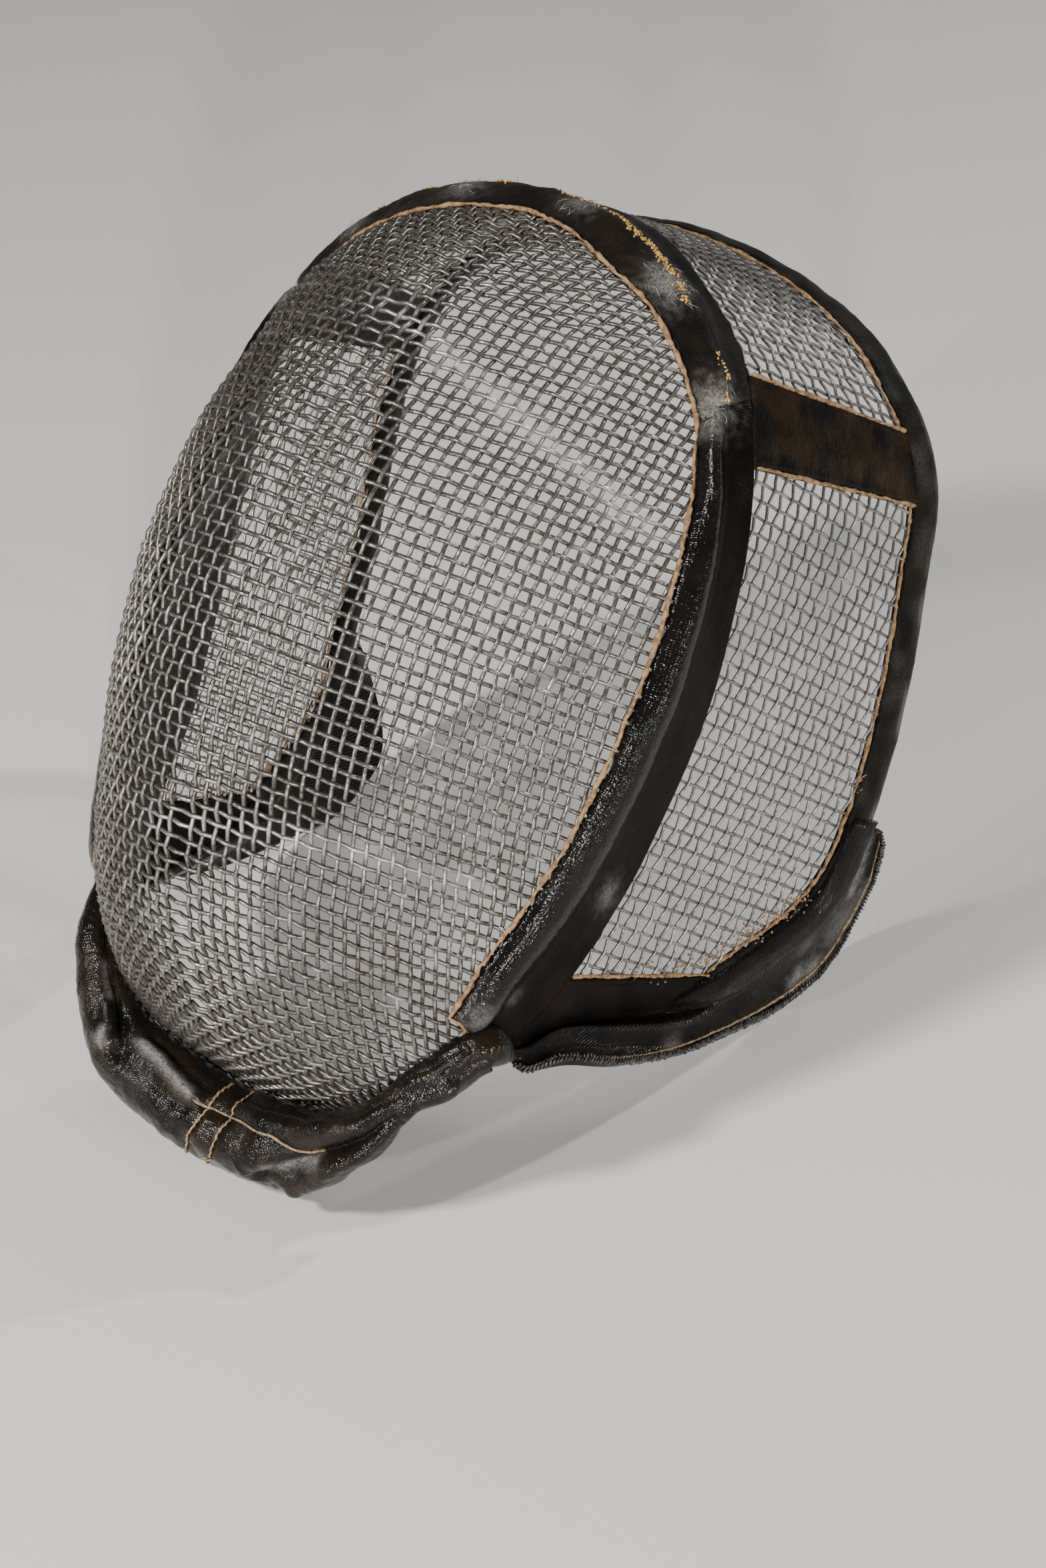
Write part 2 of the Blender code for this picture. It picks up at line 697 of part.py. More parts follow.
def main():
    clear_scene()
    target = make_collection("fencing_mask")
    cutters = make_collection("cutters")
    cutters.hide_render = True
    steel, oilcloth, strap, worn = (make_material(n, COLOURS[n]) for n in COLOURS)
    face_mesh(steel, target)
    rear_meshes(steel, target)
    crown_trim(worn, target)
    roll = cheek_roll(oilcloth, target)
    mirrored(roll, "cheek_roll_right", target)
    temple = wall_patch(
        "temple_strap_left", STRAP_TOP_ROW, STRAP_BOTTOM_ROW, STRAP_THICKNESS, 4, 5, strap, target
    )
    mirrored(temple, "temple_strap_right", target)
    jaw = wall_patch(
        "jaw_panel_left", EAR_BOTTOM_ROW, JAW_ROW, LEATHER, 4, 8, oilcloth, target
    )
    mirrored(jaw, "jaw_panel_right", target)
    rear_binding(worn, target)
    wing = neck_wing(oilcloth, target)
    mirrored(wing, "neck_wing_right", target)
    chin = chin_roll(oilcloth, target)
    set_down(target, chin, wing)


main()
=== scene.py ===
import math
import random

import bpy
from mathutils import Matrix, Vector, noise
from mathutils.bvhtree import BVHTree


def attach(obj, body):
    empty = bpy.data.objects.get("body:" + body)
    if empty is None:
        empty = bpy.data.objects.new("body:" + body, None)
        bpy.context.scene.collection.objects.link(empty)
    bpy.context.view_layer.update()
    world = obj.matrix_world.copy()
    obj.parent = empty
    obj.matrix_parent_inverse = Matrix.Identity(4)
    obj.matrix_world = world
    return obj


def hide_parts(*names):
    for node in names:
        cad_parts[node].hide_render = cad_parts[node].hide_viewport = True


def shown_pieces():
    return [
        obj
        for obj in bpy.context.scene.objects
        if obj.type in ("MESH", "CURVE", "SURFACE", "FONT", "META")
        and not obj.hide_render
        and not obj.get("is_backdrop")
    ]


# An old fencing mask: woven wire, black oilcloth rolls and raw tan edges. Lengths are in metres.
# Shapes are worked out in the mask's own frame: X to the wearer's left, Y rearward, Z up the face.

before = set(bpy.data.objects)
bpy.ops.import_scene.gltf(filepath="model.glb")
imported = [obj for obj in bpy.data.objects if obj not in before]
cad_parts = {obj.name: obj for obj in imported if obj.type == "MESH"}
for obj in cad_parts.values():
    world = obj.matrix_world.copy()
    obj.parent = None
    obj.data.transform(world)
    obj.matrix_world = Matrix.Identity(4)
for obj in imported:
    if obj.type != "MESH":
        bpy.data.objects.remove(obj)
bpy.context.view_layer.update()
random.seed(7)

resting = {"lean": 41.607, "move": (0.0, -0.09474, 0.20245)}
toWorld = Matrix.Translation(resting["move"]) @ Matrix.Rotation(
    -math.radians(resting["lean"]), 4, "X"
)

# The same sizes and tables as the solids have
face = {"halfWidth": 0.0935, "rise": 0.136, "drop": 0.1465}
faceDepth = {"side": 0.0765, "crown": 0.0745, "chin": 0.108}
rear = {"halfWidth": 0.108, "depth": 0.210, "rise": 0.161}

sectionTable = (
    {"out": 0.000, "back": 0.000},
    {"out": 0.135, "back": 0.014},
    {"out": 0.265, "back": 0.058},
    {"out": 0.386, "back": 0.128},
    {"out": 0.495, "back": 0.222},
    {"out": 0.591, "back": 0.337},
    {"out": 0.675, "back": 0.467},
    {"out": 0.749, "back": 0.605},
    {"out": 0.819, "back": 0.745},
    {"out": 0.896, "back": 0.880},
    {"out": 1.000, "back": 1.000},
    {"out": 1.100, "back": 1.080},
)
browTable = (
    {"along": 0.000, "back": 0.000},
    {"along": 0.309, "back": 0.070},
    {"along": 0.595, "back": 0.281},
    {"along": 0.730, "back": 0.423},
    {"along": 0.840, "back": 0.620},
    {"along": 0.920, "back": 0.790},
    {"along": 1.000, "back": 1.000},
)
jawTable = (
    {"along": 0.000, "back": 0.000},
    {"along": 0.287, "back": 0.049},
    {"along": 0.552, "back": 0.196},
    {"along": 0.675, "back": 0.306},
    {"along": 0.775, "back": 0.434},
    {"along": 0.870, "back": 0.593},
    {"along": 0.937, "back": 0.759},
    {"along": 0.986, "back": 0.950},
    {"along": 1.000, "back": 1.000},
)
openingTable = (
    {"out": 0.000, "up": 1.000},
    {"out": 0.203, "up": 0.976},
    {"out": 0.396, "up": 0.921},
    {"out": 0.561, "up": 0.868},
    {"out": 0.690, "up": 0.790},
    {"out": 0.797, "up": 0.691},
    {"out": 0.866, "up": 0.570},
    {"out": 0.926, "up": 0.436},
    {"out": 0.973, "up": 0.301},
    {"out": 0.996, "up": 0.151},
    {"out": 1.000, "up": 0.000},
    {"out": 0.976, "up": -0.176},
    {"out": 0.938, "up": -0.307},
    {"out": 0.832, "up": -0.519},
    {"out": 0.756, "up": -0.676},
    {"out": 0.711, "up": -0.744},
    {"out": 0.638, "up": -0.802},
    {"out": 0.545, "up": -0.874},
    {"out": 0.428, "up": -0.934},
    {"out": 0.235, "up": -0.980},
    {"out": 0.000, "up": -1.000},
)
wallTable = (
    {"front": (0.000, 0.457, 0.916), "rear": (0.000, 0.752, 0.993)},
    {"front": (0.176, 0.457, 0.910), "rear": (0.194, 0.752, 0.980)},
    {"front": (0.352, 0.457, 0.879), "rear": (0.407, 0.760, 0.949)},
    {"front": (0.509, 0.460, 0.814), "rear": (0.644, 0.771, 0.882)},
    {"front": (0.648, 0.460, 0.742), "rear": (0.806, 0.795, 0.795)},
    {"front": (0.759, 0.462, 0.652), "rear": (0.907, 0.826, 0.708)},
    {"front": (0.844, 0.469, 0.520), "rear": (0.964, 0.854, 0.606)},
    {"front": (0.875, 0.499, 0.386), "rear": (0.984, 0.881, 0.481)},
    {"front": (0.881, 0.523, 0.266), "rear": (0.996, 0.921, 0.342)},
    {"front": (0.880, 0.548, 0.131), "rear": (0.999, 0.964, 0.176)},
    {"front": (0.868, 0.563, -0.005), "rear": (0.996, 0.989, 0.002)},
    {"front": (0.843, 0.570, -0.167), "rear": (0.973, 1.000, -0.129)},
    {"front": (0.819, 0.571, -0.289), "rear": (0.942, 0.960, -0.239)},
    {"front": (0.781, 0.545, -0.474), "rear": (0.879, 0.852, -0.394)},
    {"front": (0.697, 0.522, -0.647), "rear": (0.883, 0.887, -0.442)},
)
rowsOf = {"temple": 5.1, "strapTop": 4.7, "strapBottom": 6.0, "earBottom": 13.0, "jaw": 14, "chin": 20}


def throughValues(values, place):
    # smooth curve through evenly numbered values
    last = len(values) - 1
    place = max(0.0, min(float(place), float(last)))
    row = min(int(place), last - 1)
    part = place - row
    here = values[row]
    there = values[row + 1]
    before = values[row - 1] if row > 0 else here * 2 - there
    after = values[row + 2] if row + 2 <= last else there * 2 - here
    return 0.5 * (
        here * 2
        + (there - before) * part
        + (before * 2 - here * 5 + there * 4 - after) * part**2
        + (here * 3 - before - there * 3 + after) * part**3
    )


def lookUp(table, key, value, column):
    keys = [row[key] for row in table]
    value = max(keys[0], min(value, keys[-1]))
    row = max(i for i in range(len(keys) - 1) if keys[i] <= value)
    place = row + (value - keys[row]) / (keys[row + 1] - keys[row])
    return throughValues([r[column] for r in table], place)


def sectionBack(x):
    return faceDepth["side"] * lookUp(sectionTable, "out", abs(x) / face["halfWidth"], "back")


def profileBack(z):
    if z >= 0:
        return faceDepth["crown"] * lookUp(browTable, "along", z / face["rise"], "back")
    return faceDepth["chin"] * lookUp(jawTable, "along", -z / face["drop"], "back")


def openingXz(row):
    out = throughValues([r["out"] for r in openingTable], abs(row)) * face["halfWidth"]
    up = throughValues([r["up"] for r in openingTable], abs(row))
    return math.copysign(out, row), up * (face["rise"] if up > 0 else face["drop"])


def openingPoint(row):
    x, z = openingXz(row)
    return Vector((x, sectionBack(x) + profileBack(z), z))


wallFronts = [Vector(r["front"]) for r in wallTable]
wallRears = [Vector(r["rear"]) for r in wallTable]


def wallLine(row, column):
    shares = throughValues(wallFronts if column == "front" else wallRears, abs(row))
    point = Vector((shares.x * rear["halfWidth"], shares.y * rear["depth"], shares.z * rear["rise"]))
    point.x = math.copysign(point.x, row)
    return point


def wallPoint(row, across):
    if across <= 1:
        return openingPoint(row).lerp(wallLine(row, "front"), across)
    return wallLine(row, "front").lerp(wallLine(row, "rear"), across - 1)


def wallFrame(row, across):
    # point on the side wall and its outward normal
    step = 0.02
    low = max(-rowsOf["jaw"], row - step)
    high = min(rowsOf["jaw"], row + step)
    along = (wallPoint(high, across) - wallPoint(low, across)).normalized()
    part = (0, 1) if across < 1 else (1, 2)
    first = max(part[0] + 0.001, across - step)
    second = min(part[1] - 0.001, across + step)
    rearward = (wallPoint(row, second) - wallPoint(row, first)).normalized()
    normal = along.cross(rearward).normalized()
    if normal.dot(Vector((math.copysign(1, row), 0, 1))) < 0:
        normal.negate()
    return wallPoint(row, across), normal


def steps(first, last, count):
    return [first + (last - first) * i / count for i in range(count + 1)]


def smooth(value, low, high):
    part = max(0.0, min(1.0, (value - low) / (high - low)))
    return part * part * (3 - 2 * part)


def bell(distance, width):
    return math.exp(-((distance / width) ** 2))


def ripple(point, scale, seed=0.0):
    return noise.noise(Vector(point) * scale + Vector((seed, seed * 1.7, seed * 0.3)))


# ---- building blocks for meshes ----


def makeMesh(name, points, faces, edges=(), uvs=None, facts=None):
    # points are in the mask's frame and are turned to stand in the room
    mesh = bpy.data.meshes.new(name)
    mesh.from_pydata([toWorld @ Vector(p) for p in points], list(edges), list(faces))
    mesh.update()
    if uvs:
        layer = mesh.uv_layers.new(name="cloth")
        for face_ in mesh.polygons:
            for corner in face_.loop_indices:
                layer.data[corner].uv = uvs[mesh.loops[corner].vertex_index]
    for key, values in (facts or {}).items():
        vector = isinstance(values[0], Vector)
        kind = "FLOAT_VECTOR" if vector else "FLOAT"
        attribute = mesh.attributes.new(key, kind, "POINT")
        for i, value in enumerate(values):
            if vector:
                attribute.data[i].vector = value
            else:
                attribute.data[i].value = value
    made = bpy.data.objects.new(name, mesh)
    bpy.context.scene.collection.objects.link(made)
    return made


def shadeSmooth(made):
    for polygon in made.data.polygons:
        polygon.use_smooth = True
    return made


def baked(made):
    # keeps the evaluated shape as a plain mesh
    graph = bpy.context.evaluated_depsgraph_get()
    mesh = bpy.data.meshes.new_from_object(made.evaluated_get(graph))
    old = made.data
    made.modifiers.clear()
    made.data = mesh
    mesh.name = made.name
    bpy.data.meshes.remove(old)
    return made


def finishPiece(made, material, slotName, *nodes):
    if material is not None:
        made.data.materials.clear()
        made.data.materials.append(material)
    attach(made, "root")
    if nodes:
        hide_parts(*nodes)
    return made


def loftedSkin(name, rings, uvRings, facts=None, capped=True):
    size = len(rings[0])
    points = [p for ring in rings for p in ring]
    uvs = [uv for ring in uvRings for uv in ring]
    faces = [
        (i * size + k, i * size + (k + 1) % size, (i + 1) * size + (k + 1) % size, (i + 1) * size + k)
        for i in range(len(rings) - 1)
        for k in range(size)
    ]
    if capped:
        faces.append(tuple(range(size - 1, -1, -1)))
        faces.append(tuple((len(rings) - 1) * size + k for k in range(size)))
    made = makeMesh(name, points, faces, uvs=uvs, facts=facts)
    volume = sum(
        polygon.center.dot(polygon.normal) * polygon.area for polygon in made.data.polygons
    )
    if volume < 0:
        made.data.flip_normals()
    return shadeSmooth(made)


def mirroredPiece(source, name):
    made = source.copy()
    made.data = source.data.copy()
    made.name = name
    made.data.transform(Matrix.Scale(-1, 4, (1, 0, 0)))
    made.data.flip_normals()
    bpy.context.scene.collection.objects.link(made)
    return made


# ---- node helpers ----


def newNode(tree, kind, values=None, **settings):
    node = tree.nodes.new(kind)
    for key, value in settings.items():
        setattr(node, key, value)
    for key, value in (values or {}).items():
        if isinstance(value, bpy.types.NodeSocket):
            tree.links.new(value, node.inputs[key])
        else:
            node.inputs[key].default_value = value
    return node


def mathOf(tree, operation, first, second=0.0, clamp=False):
    node = newNode(tree, "ShaderNodeMath", {0: first, 1: second}, operation=operation, use_clamp=clamp)
    return node.outputs[0]


def ramped(tree, value, low, high, first=0.0, last=1.0):
    node = newNode(
        tree,
        "ShaderNodeMapRange",
        {"Value": value, "From Min": low, "From Max": high, "To Min": first, "To Max": last},
        interpolation_type="SMOOTHSTEP",
    )
    return node.outputs["Result"]


def mixed(tree, share, first, second):
    node = newNode(tree, "ShaderNodeMix", {0: share, 6: first, 7: second}, data_type="RGBA")
    return node.outputs[2]


def newGroup(name, inputs, outputs, kind="ShaderNodeTree"):
    tree = bpy.data.node_groups.new(name, kind)
    for title, socketType, default in inputs:
        socket = tree.interface.new_socket(title, in_out="INPUT", socket_type=socketType)
        if default is not None:
            socket.default_value = default
    for title, socketType in outputs:
        tree.interface.new_socket(title, in_out="OUTPUT", socket_type=socketType)
    return tree, tree.nodes.new("NodeGroupInput"), tree.nodes.new("NodeGroupOutput")


def newMaterial(name, **constants):
    material = bpy.data.materials.new(name)
    material.use_nodes = True
    shader = material.node_tree.nodes["Principled BSDF"]
    for title, value in constants.items():
        shader.inputs[title.replace("_", " ")].default_value = value
    return material, material.node_tree, shader


def useGroup(tree, group, values=None):
    node = newNode(tree, "ShaderNodeGroup", node_tree=group)
    for key, value in (values or {}).items():
        if isinstance(value, bpy.types.NodeSocket):
            tree.links.new(value, node.inputs[key])
        else:
            node.inputs[key].default_value = value
    return node


# ---- woven wire ----


def wireTree():
    tree, given, result = newGroup(
        "woven_wire",
        (
            ("Geometry", "NodeSocketGeometry", None),
            ("Wire radius", "NodeSocketFloat", 0.0006),
            ("Crimp", "NodeSocketFloat", 0.0005),
            ("Sides", "NodeSocketInt", 5),
            ("Material", "NodeSocketMaterial", None),
        ),
        (("Geometry", "NodeSocketGeometry"),),
        "GeometryNodeTree",
    )
    lift = newNode(tree, "GeometryNodeInputNamedAttribute", {"Name": "lift"}, data_type="FLOAT")
    outward = newNode(
        tree, "GeometryNodeInputNamedAttribute", {"Name": "outward"}, data_type="FLOAT_VECTOR"
    )
    raised = newNode(
        tree,
        "ShaderNodeVectorMath",
        {0: outward.outputs["Attribute"], "Scale": lift.outputs["Attribute"]},
        operation="SCALE",
    )
    crimped = newNode(
        tree,
        "ShaderNodeVectorMath",
        {0: raised.outputs[0], "Scale": given.outputs["Crimp"]},
        operation="SCALE",
    )
    moved = newNode(
        tree,
        "GeometryNodeSetPosition",
        {"Geometry": given.outputs["Geometry"], "Offset": crimped.outputs[0]},
    )
    curves = newNode(tree, "GeometryNodeMeshToCurve", {"Mesh": moved.outputs[0]})
    circle = newNode(
        tree,
        "GeometryNodeCurvePrimitiveCircle",
        {"Resolution": given.outputs["Sides"], "Radius": given.outputs["Wire radius"]},
    )
    tube = newNode(
        tree,
        "GeometryNodeCurveToMesh",
        {"Curve": curves.outputs[0], "Profile Curve": circle.outputs[0], "Fill Caps": True},
    )
    soft = newNode(tree, "GeometryNodeSetShadeSmooth", {"Geometry": tube.outputs[0]})
    whole = newNode(tree, "GeometryNodeRealizeInstances", {"Geometry": soft.outputs[0]})
    dressed = newNode(
        tree,
        "GeometryNodeSetMaterial",
        {"Geometry": whole.outputs[0], "Material": given.outputs["Material"]},
    )
    tree.links.new(dressed.outputs[0], result.inputs[0])
    return tree


def withNodes(made, tree, values):
    modifier = made.modifiers.new("nodes", "NODES")
    modifier.node_group = tree
    for item in tree.interface.items_tree:
        if item.in_out == "INPUT" and item.name in values:
            modifier[item.identifier] = values[item.name]
    made.update_tag()
    return baked(made)


def wiresFrom(name, lines, tree, values):
    # lines hold (point, outward, lift, wear) for each bend of a wire
    points, edges, facts = [], [], {"lift": [], "outward": [], "wear": []}
    spin = toWorld.to_3x3()
    for line in lines:
        if len(line) < 3:
            continue
        base = len(points)
        for point, outward, lift, wear in line:
            points.append(point)
            facts["lift"].append(lift)
            facts["outward"].append(spin @ outward)
            facts["wear"].append(wear)
        edges.extend((base + i, base + i + 1) for i in range(len(line) - 1))
    made = makeMesh(name, points, (), edges, facts=facts)
    return withNodes(made, tree, values)


# ---- materials ----

steelLook = {
    "clean": (0.30, 0.28, 0.25, 1),
    "dull": (0.10, 0.09, 0.08, 1),
    "rust": (0.085, 0.055, 0.038, 1),
    "bright": (0.66, 0.64, 0.61, 1),
    "worn": (0.72, 0.71, 0.69, 1),
}


def wireGroup():
    tree, given, result = newGroup(
        "wire_finish",
        (("Rust", "NodeSocketFloat", 0.5), ("Shine", "NodeSocketFloat", 0.0)),
        (("Color", "NodeSocketColor"), ("Roughness", "NodeSocketFloat"), ("Normal", "NodeSocketVector")),
    )
    place = newNode(tree, "ShaderNodeTexCoord").outputs["Object"]
    wear = newNode(tree, "ShaderNodeAttribute", attribute_name="wear").outputs["Fac"]
    broad = newNode(tree, "ShaderNodeTexNoise", {"Vector": place, "Scale": 38.0, "Detail": 3.0})
    fine = newNode(tree, "ShaderNodeTexNoise", {"Vector": place, "Scale": 900.0, "Detail": 2.0})
    speck = newNode(tree, "ShaderNodeTexNoise", {"Vector": place, "Scale": 260.0, "Detail": 2.0})
    dullness = ramped(tree, fine.outputs["Fac"], 0.36, 0.66)
    plain = mixed(tree, dullness, steelLook["clean"], steelLook["dull"])
    base = mixed(tree, given.outputs["Shine"], plain, steelLook["bright"])
    rustField = mathOf(tree, "MULTIPLY", ramped(tree, broad.outputs["Fac"], 0.42, 0.66), given.outputs["Rust"])
    rustSpot = mathOf(tree, "MULTIPLY", ramped(tree, speck.outputs["Fac"], 0.47, 0.62), rustField)
    rusty = mixed(tree, rustSpot, base, steelLook["rust"])
    bright = mixed(tree, wear, rusty, steelLook["worn"])
    tree.links.new(bright, result.inputs["Color"])
    rough = ramped(tree, fine.outputs["Fac"], 0.3, 0.7, 0.28, 0.52)
    rougher = mathOf(tree, "ADD", rough, mathOf(tree, "MULTIPLY", rustSpot, 0.3))
    tree.links.new(rougher, result.inputs["Roughness"])
    bump = newNode(
        tree,
        "ShaderNodeBump",
        {"Height": fine.outputs["Fac"], "Strength": 0.35, "Distance": 0.0001},
    )
    tree.links.new(bump.outputs[0], result.inputs["Normal"])
    return tree


def wireMaterial(name, group, rust, shine):
    material, tree, shader = newMaterial(name, Metallic=0.88)
    used = useGroup(tree, group, {"Rust": rust, "Shine": shine})
    tree.links.new(used.outputs["Color"], shader.inputs["Base Color"])
    tree.links.new(used.outputs["Roughness"], shader.inputs["Roughness"])
    tree.links.new(used.outputs["Normal"], shader.inputs["Normal"])
    return material


oilclothLook = {
    "black": (0.0050, 0.0045, 0.0042, 1),
    "brown": (0.026, 0.015, 0.006, 1),
    # grey-white for rubbed wear, also used for the painted highlights on the chin roll
    "scuff_and_sheen": (0.30, 0.285, 0.265, 1),
}


def clothGroup():
    # coated cloth: weave under the gloss, creases, scuffs and dust, and the painted highlights that the scuff attribute
    # carries on the chin roll; the UV unit is a centimetre
    tree, given, result = newGroup(
        "coated_cloth",
        (
            ("Weave", "NodeSocketFloat", 0.5),
            ("Twill", "NodeSocketFloat", 0.0),
            ("Creases", "NodeSocketFloat", 0.5),
            ("Scuffs", "NodeSocketFloat", 0.5),
            ("Brown", "NodeSocketFloat", 0.3),
            ("Gloss", "NodeSocketFloat", 0.16),
            ("Matt", "NodeSocketFloat", 0.45),
            ("Pebble", "NodeSocketFloat", 0.5),
        ),
        (
            ("Color", "NodeSocketColor"),
            ("Roughness", "NodeSocketFloat"),
            ("Normal", "NodeSocketVector"),
        ),
    )
    place = newNode(tree, "ShaderNodeUVMap", uv_map="cloth").outputs[0]
    solid = newNode(tree, "ShaderNodeTexCoord").outputs["Object"]
    # the scuff attribute holds rubbed wear, and on the chin roll painted highlights too
    worn = newNode(tree, "ShaderNodeAttribute", attribute_name="scuff_and_sheen").outputs["Fac"]
    warp = newNode(
        tree, "ShaderNodeTexWave", {"Vector": place, "Scale": 4.3, "Distortion": 0.9}, bands_direction="X"
    )
    weft = newNode(
        tree, "ShaderNodeTexWave", {"Vector": place, "Scale": 4.3, "Distortion": 0.9}, bands_direction="Y"
    )
    weave = mathOf(tree, "MULTIPLY", warp.outputs["Fac"], weft.outputs["Fac"])
    diagonal = newNode(
        tree, "ShaderNodeTexWave", {"Vector": place, "Scale": 3.7, "Distortion": 0.8}, bands_direction="DIAGONAL"
    )
    stretched = newNode(tree, "ShaderNodeMapping", {"Vector": place, "Scale": (9.0, 1.3, 1.0)})
    crease = newNode(tree, "ShaderNodeTexNoise", {"Vector": stretched.outputs[0], "Scale": 1.0, "Detail": 5.0})
    lumps = newNode(tree, "ShaderNodeTexNoise", {"Vector": solid, "Scale": 85.0, "Detail": 3.0})
    pebble = newNode(tree, "ShaderNodeTexNoise", {"Vector": solid, "Scale": 640.0, "Detail": 1.0})
    broad = newNode(tree, "ShaderNodeTexNoise", {"Vector": solid, "Scale": 30.0, "Detail": 4.0})
    fine = newNode(tree, "ShaderNodeTexNoise", {"Vector": solid, "Scale": 1300.0, "Detail": 3.0})
    scratched = newNode(tree, "ShaderNodeMapping", {"Vector": place, "Scale": (22.0, 2.2, 1.0)})
    scratch = newNode(
        tree, "ShaderNodeTexNoise", {"Vector": scratched.outputs[0], "Scale": 1.4, "Detail": 6.0, "Roughness": 0.7}
    )
    cracks = newNode(
        tree,
        "ShaderNodeTexVoronoi",
        {"Vector": solid, "Scale": 420.0},
        feature="DISTANCE_TO_EDGE",
    )
    scratchMask = mathOf(tree, "MULTIPLY", ramped(tree, scratch.outputs["Fac"], 0.64, 0.72), given.outputs["Scuffs"])
    broadMask = ramped(tree, broad.outputs["Fac"], 0.60, 0.76)
    patchy = mathOf(tree, "MULTIPLY", broadMask, ramped(tree, fine.outputs["Fac"], 0.50, 0.66))
    patches = mathOf(tree, "MULTIPLY", patchy, given.outputs["Scuffs"])
    attributeScuffAndSheen = mathOf(tree, "MULTIPLY", worn, ramped(tree, fine.outputs["Fac"], 0.30, 0.60, 0.35, 1.0))
    rubbed = mathOf(tree, "ADD", mathOf(tree, "MULTIPLY", patches, 0.35), mathOf(tree, "MULTIPLY", scratchMask, 0.4))
    anyScuffAndSheen = mathOf(tree, "ADD", rubbed, attributeScuffAndSheen, clamp=True)
    brownShare = mathOf(tree, "MULTIPLY", ramped(tree, lumps.outputs["Fac"], 0.35, 0.68), given.outputs["Brown"])
    base = mixed(tree, brownShare, oilclothLook["black"], oilclothLook["brown"])
    # mixing in the grey-white paints rubbed wear and the chin roll's painted highlights
    scuffAndSheenColour = mixed(tree, mathOf(tree, "MULTIPLY", anyScuffAndSheen, 0.75), base, oilclothLook["scuff_and_sheen"])
    tree.links.new(scuffAndSheenColour, result.inputs["Color"])
    gloss = mathOf(
        tree, "ADD", given.outputs["Gloss"], mathOf(tree, "MULTIPLY", lumps.outputs["Fac"], 0.08)
    )
    rough = mathOf(tree, "ADD", gloss, mathOf(tree, "MULTIPLY", anyScuffAndSheen, given.outputs["Matt"]))
    tree.links.new(rough, result.inputs["Roughness"])
    heights = mathOf(tree, "MULTIPLY", weave, mathOf(tree, "MULTIPLY", given.outputs["Weave"], 0.30))
    heights = mathOf(
        tree, "ADD", heights,
        mathOf(tree, "MULTIPLY", diagonal.outputs["Fac"], mathOf(tree, "MULTIPLY", given.outputs["Twill"], 0.8)),
    )
    heights = mathOf(
        tree, "ADD", heights,
        mathOf(tree, "MULTIPLY", crease.outputs["Fac"], mathOf(tree, "MULTIPLY", given.outputs["Creases"], 1.5)),
    )
    heights = mathOf(tree, "ADD", heights, mathOf(tree, "MULTIPLY", fine.outputs["Fac"], 0.10))
    pebbled = mathOf(tree, "MULTIPLY", pebble.outputs["Fac"], given.outputs["Pebble"])
    heights = mathOf(tree, "ADD", heights, pebbled)
    heights = mathOf(
        tree, "ADD", heights, ramped(tree, cracks.outputs["Distance"], 0.0, 0.12, 0.0, 0.08)
    )
    heights = mathOf(tree, "ADD", heights, mathOf(tree, "MULTIPLY", scratchMask, -0.15))
    bump = newNode(tree, "ShaderNodeBump", {"Height": heights, "Strength": 0.85, "Distance": 0.00035})
    tree.links.new(bump.outputs[0], result.inputs["Normal"])
    return tree


def clothMaterial(name, group, values, **constants):
    material, tree, shader = newMaterial(name, **constants)
    used = useGroup(tree, group, values)
    tree.links.new(used.outputs["Color"], shader.inputs["Base Color"])
    tree.links.new(used.outputs["Roughness"], shader.inputs["Roughness"])
    tree.links.new(used.outputs["Normal"], shader.inputs["Normal"])
    return material


def speckledMaterial(name, first, second, scale, rough, bumpDepth, **constants):
    # two colours in fine mottles, for thread, raw edges, glue and lint
    material, tree, shader = newMaterial(name, Roughness=rough, **constants)
    place = newNode(tree, "ShaderNodeTexCoord").outputs["Object"]
    spots = newNode(tree, "ShaderNodeTexNoise", {"Vector": place, "Scale": scale, "Detail": 4.0})
    share = ramped(tree, spots.outputs["Fac"], 0.38, 0.64)
    tree.links.new(mixed(tree, share, first, second), shader.inputs["Base Color"])
    bump = newNode(
        tree, "ShaderNodeBump", {"Height": spots.outputs["Fac"], "Strength": 0.8, "Distance": bumpDepth}
    )
    tree.links.new(bump.outputs[0], shader.inputs["Normal"])
    return material


wireFinish = wireGroup()
clothFinish = clothGroup()
faceSteel = wireMaterial("face_wire_steel", wireFinish, 0.55, 0.0)
sideSteel = wireMaterial("side_wire_steel", wireFinish, 0.25, 0.16)
patent = clothMaterial(
    "patent_oilcloth", clothFinish,
    {"Weave": 0.5, "Creases": 0.4, "Scuffs": 0.10, "Brown": 0.2, "Gloss": 0.10, "Pebble": 1.0},
    Specular_IOR_Level=0.26,
)
chinPatent = clothMaterial(
    "chin_oilcloth", clothFinish,
    {"Weave": 0.7, "Creases": 0.3, "Scuffs": 0.05, "Brown": 0.5, "Gloss": 0.10, "Pebble": 1.0},
    Specular_IOR_Level=0.24,
)
wingCloth = clothMaterial(
    "wing_oilcloth", clothFinish,
    {"Weave": 0.15, "Twill": 1.0, "Creases": 0.1, "Scuffs": 0.12, "Brown": 0.2, "Gloss": 0.10, "Pebble": 0.6},
    Specular_IOR_Level=0.18,
)
flatCloth = clothMaterial(
    "flat_oilcloth", clothFinish,
    {"Weave": 0.4, "Creases": 0.1, "Scuffs": 0.10, "Brown": 0.25, "Gloss": 0.26, "Pebble": 0.5},
    Specular_IOR_Level=0.04,
)
wornCloth = clothMaterial(
    "worn_cloth", clothFinish,
    {"Weave": 0.8, "Creases": 0.25, "Scuffs": 0.22, "Brown": 0.4, "Gloss": 0.38, "Matt": 0.3, "Pebble": 0.8},
    Specular_IOR_Level=0.08, Sheen_Weight=0.03, Sheen_Roughness=0.5,
)
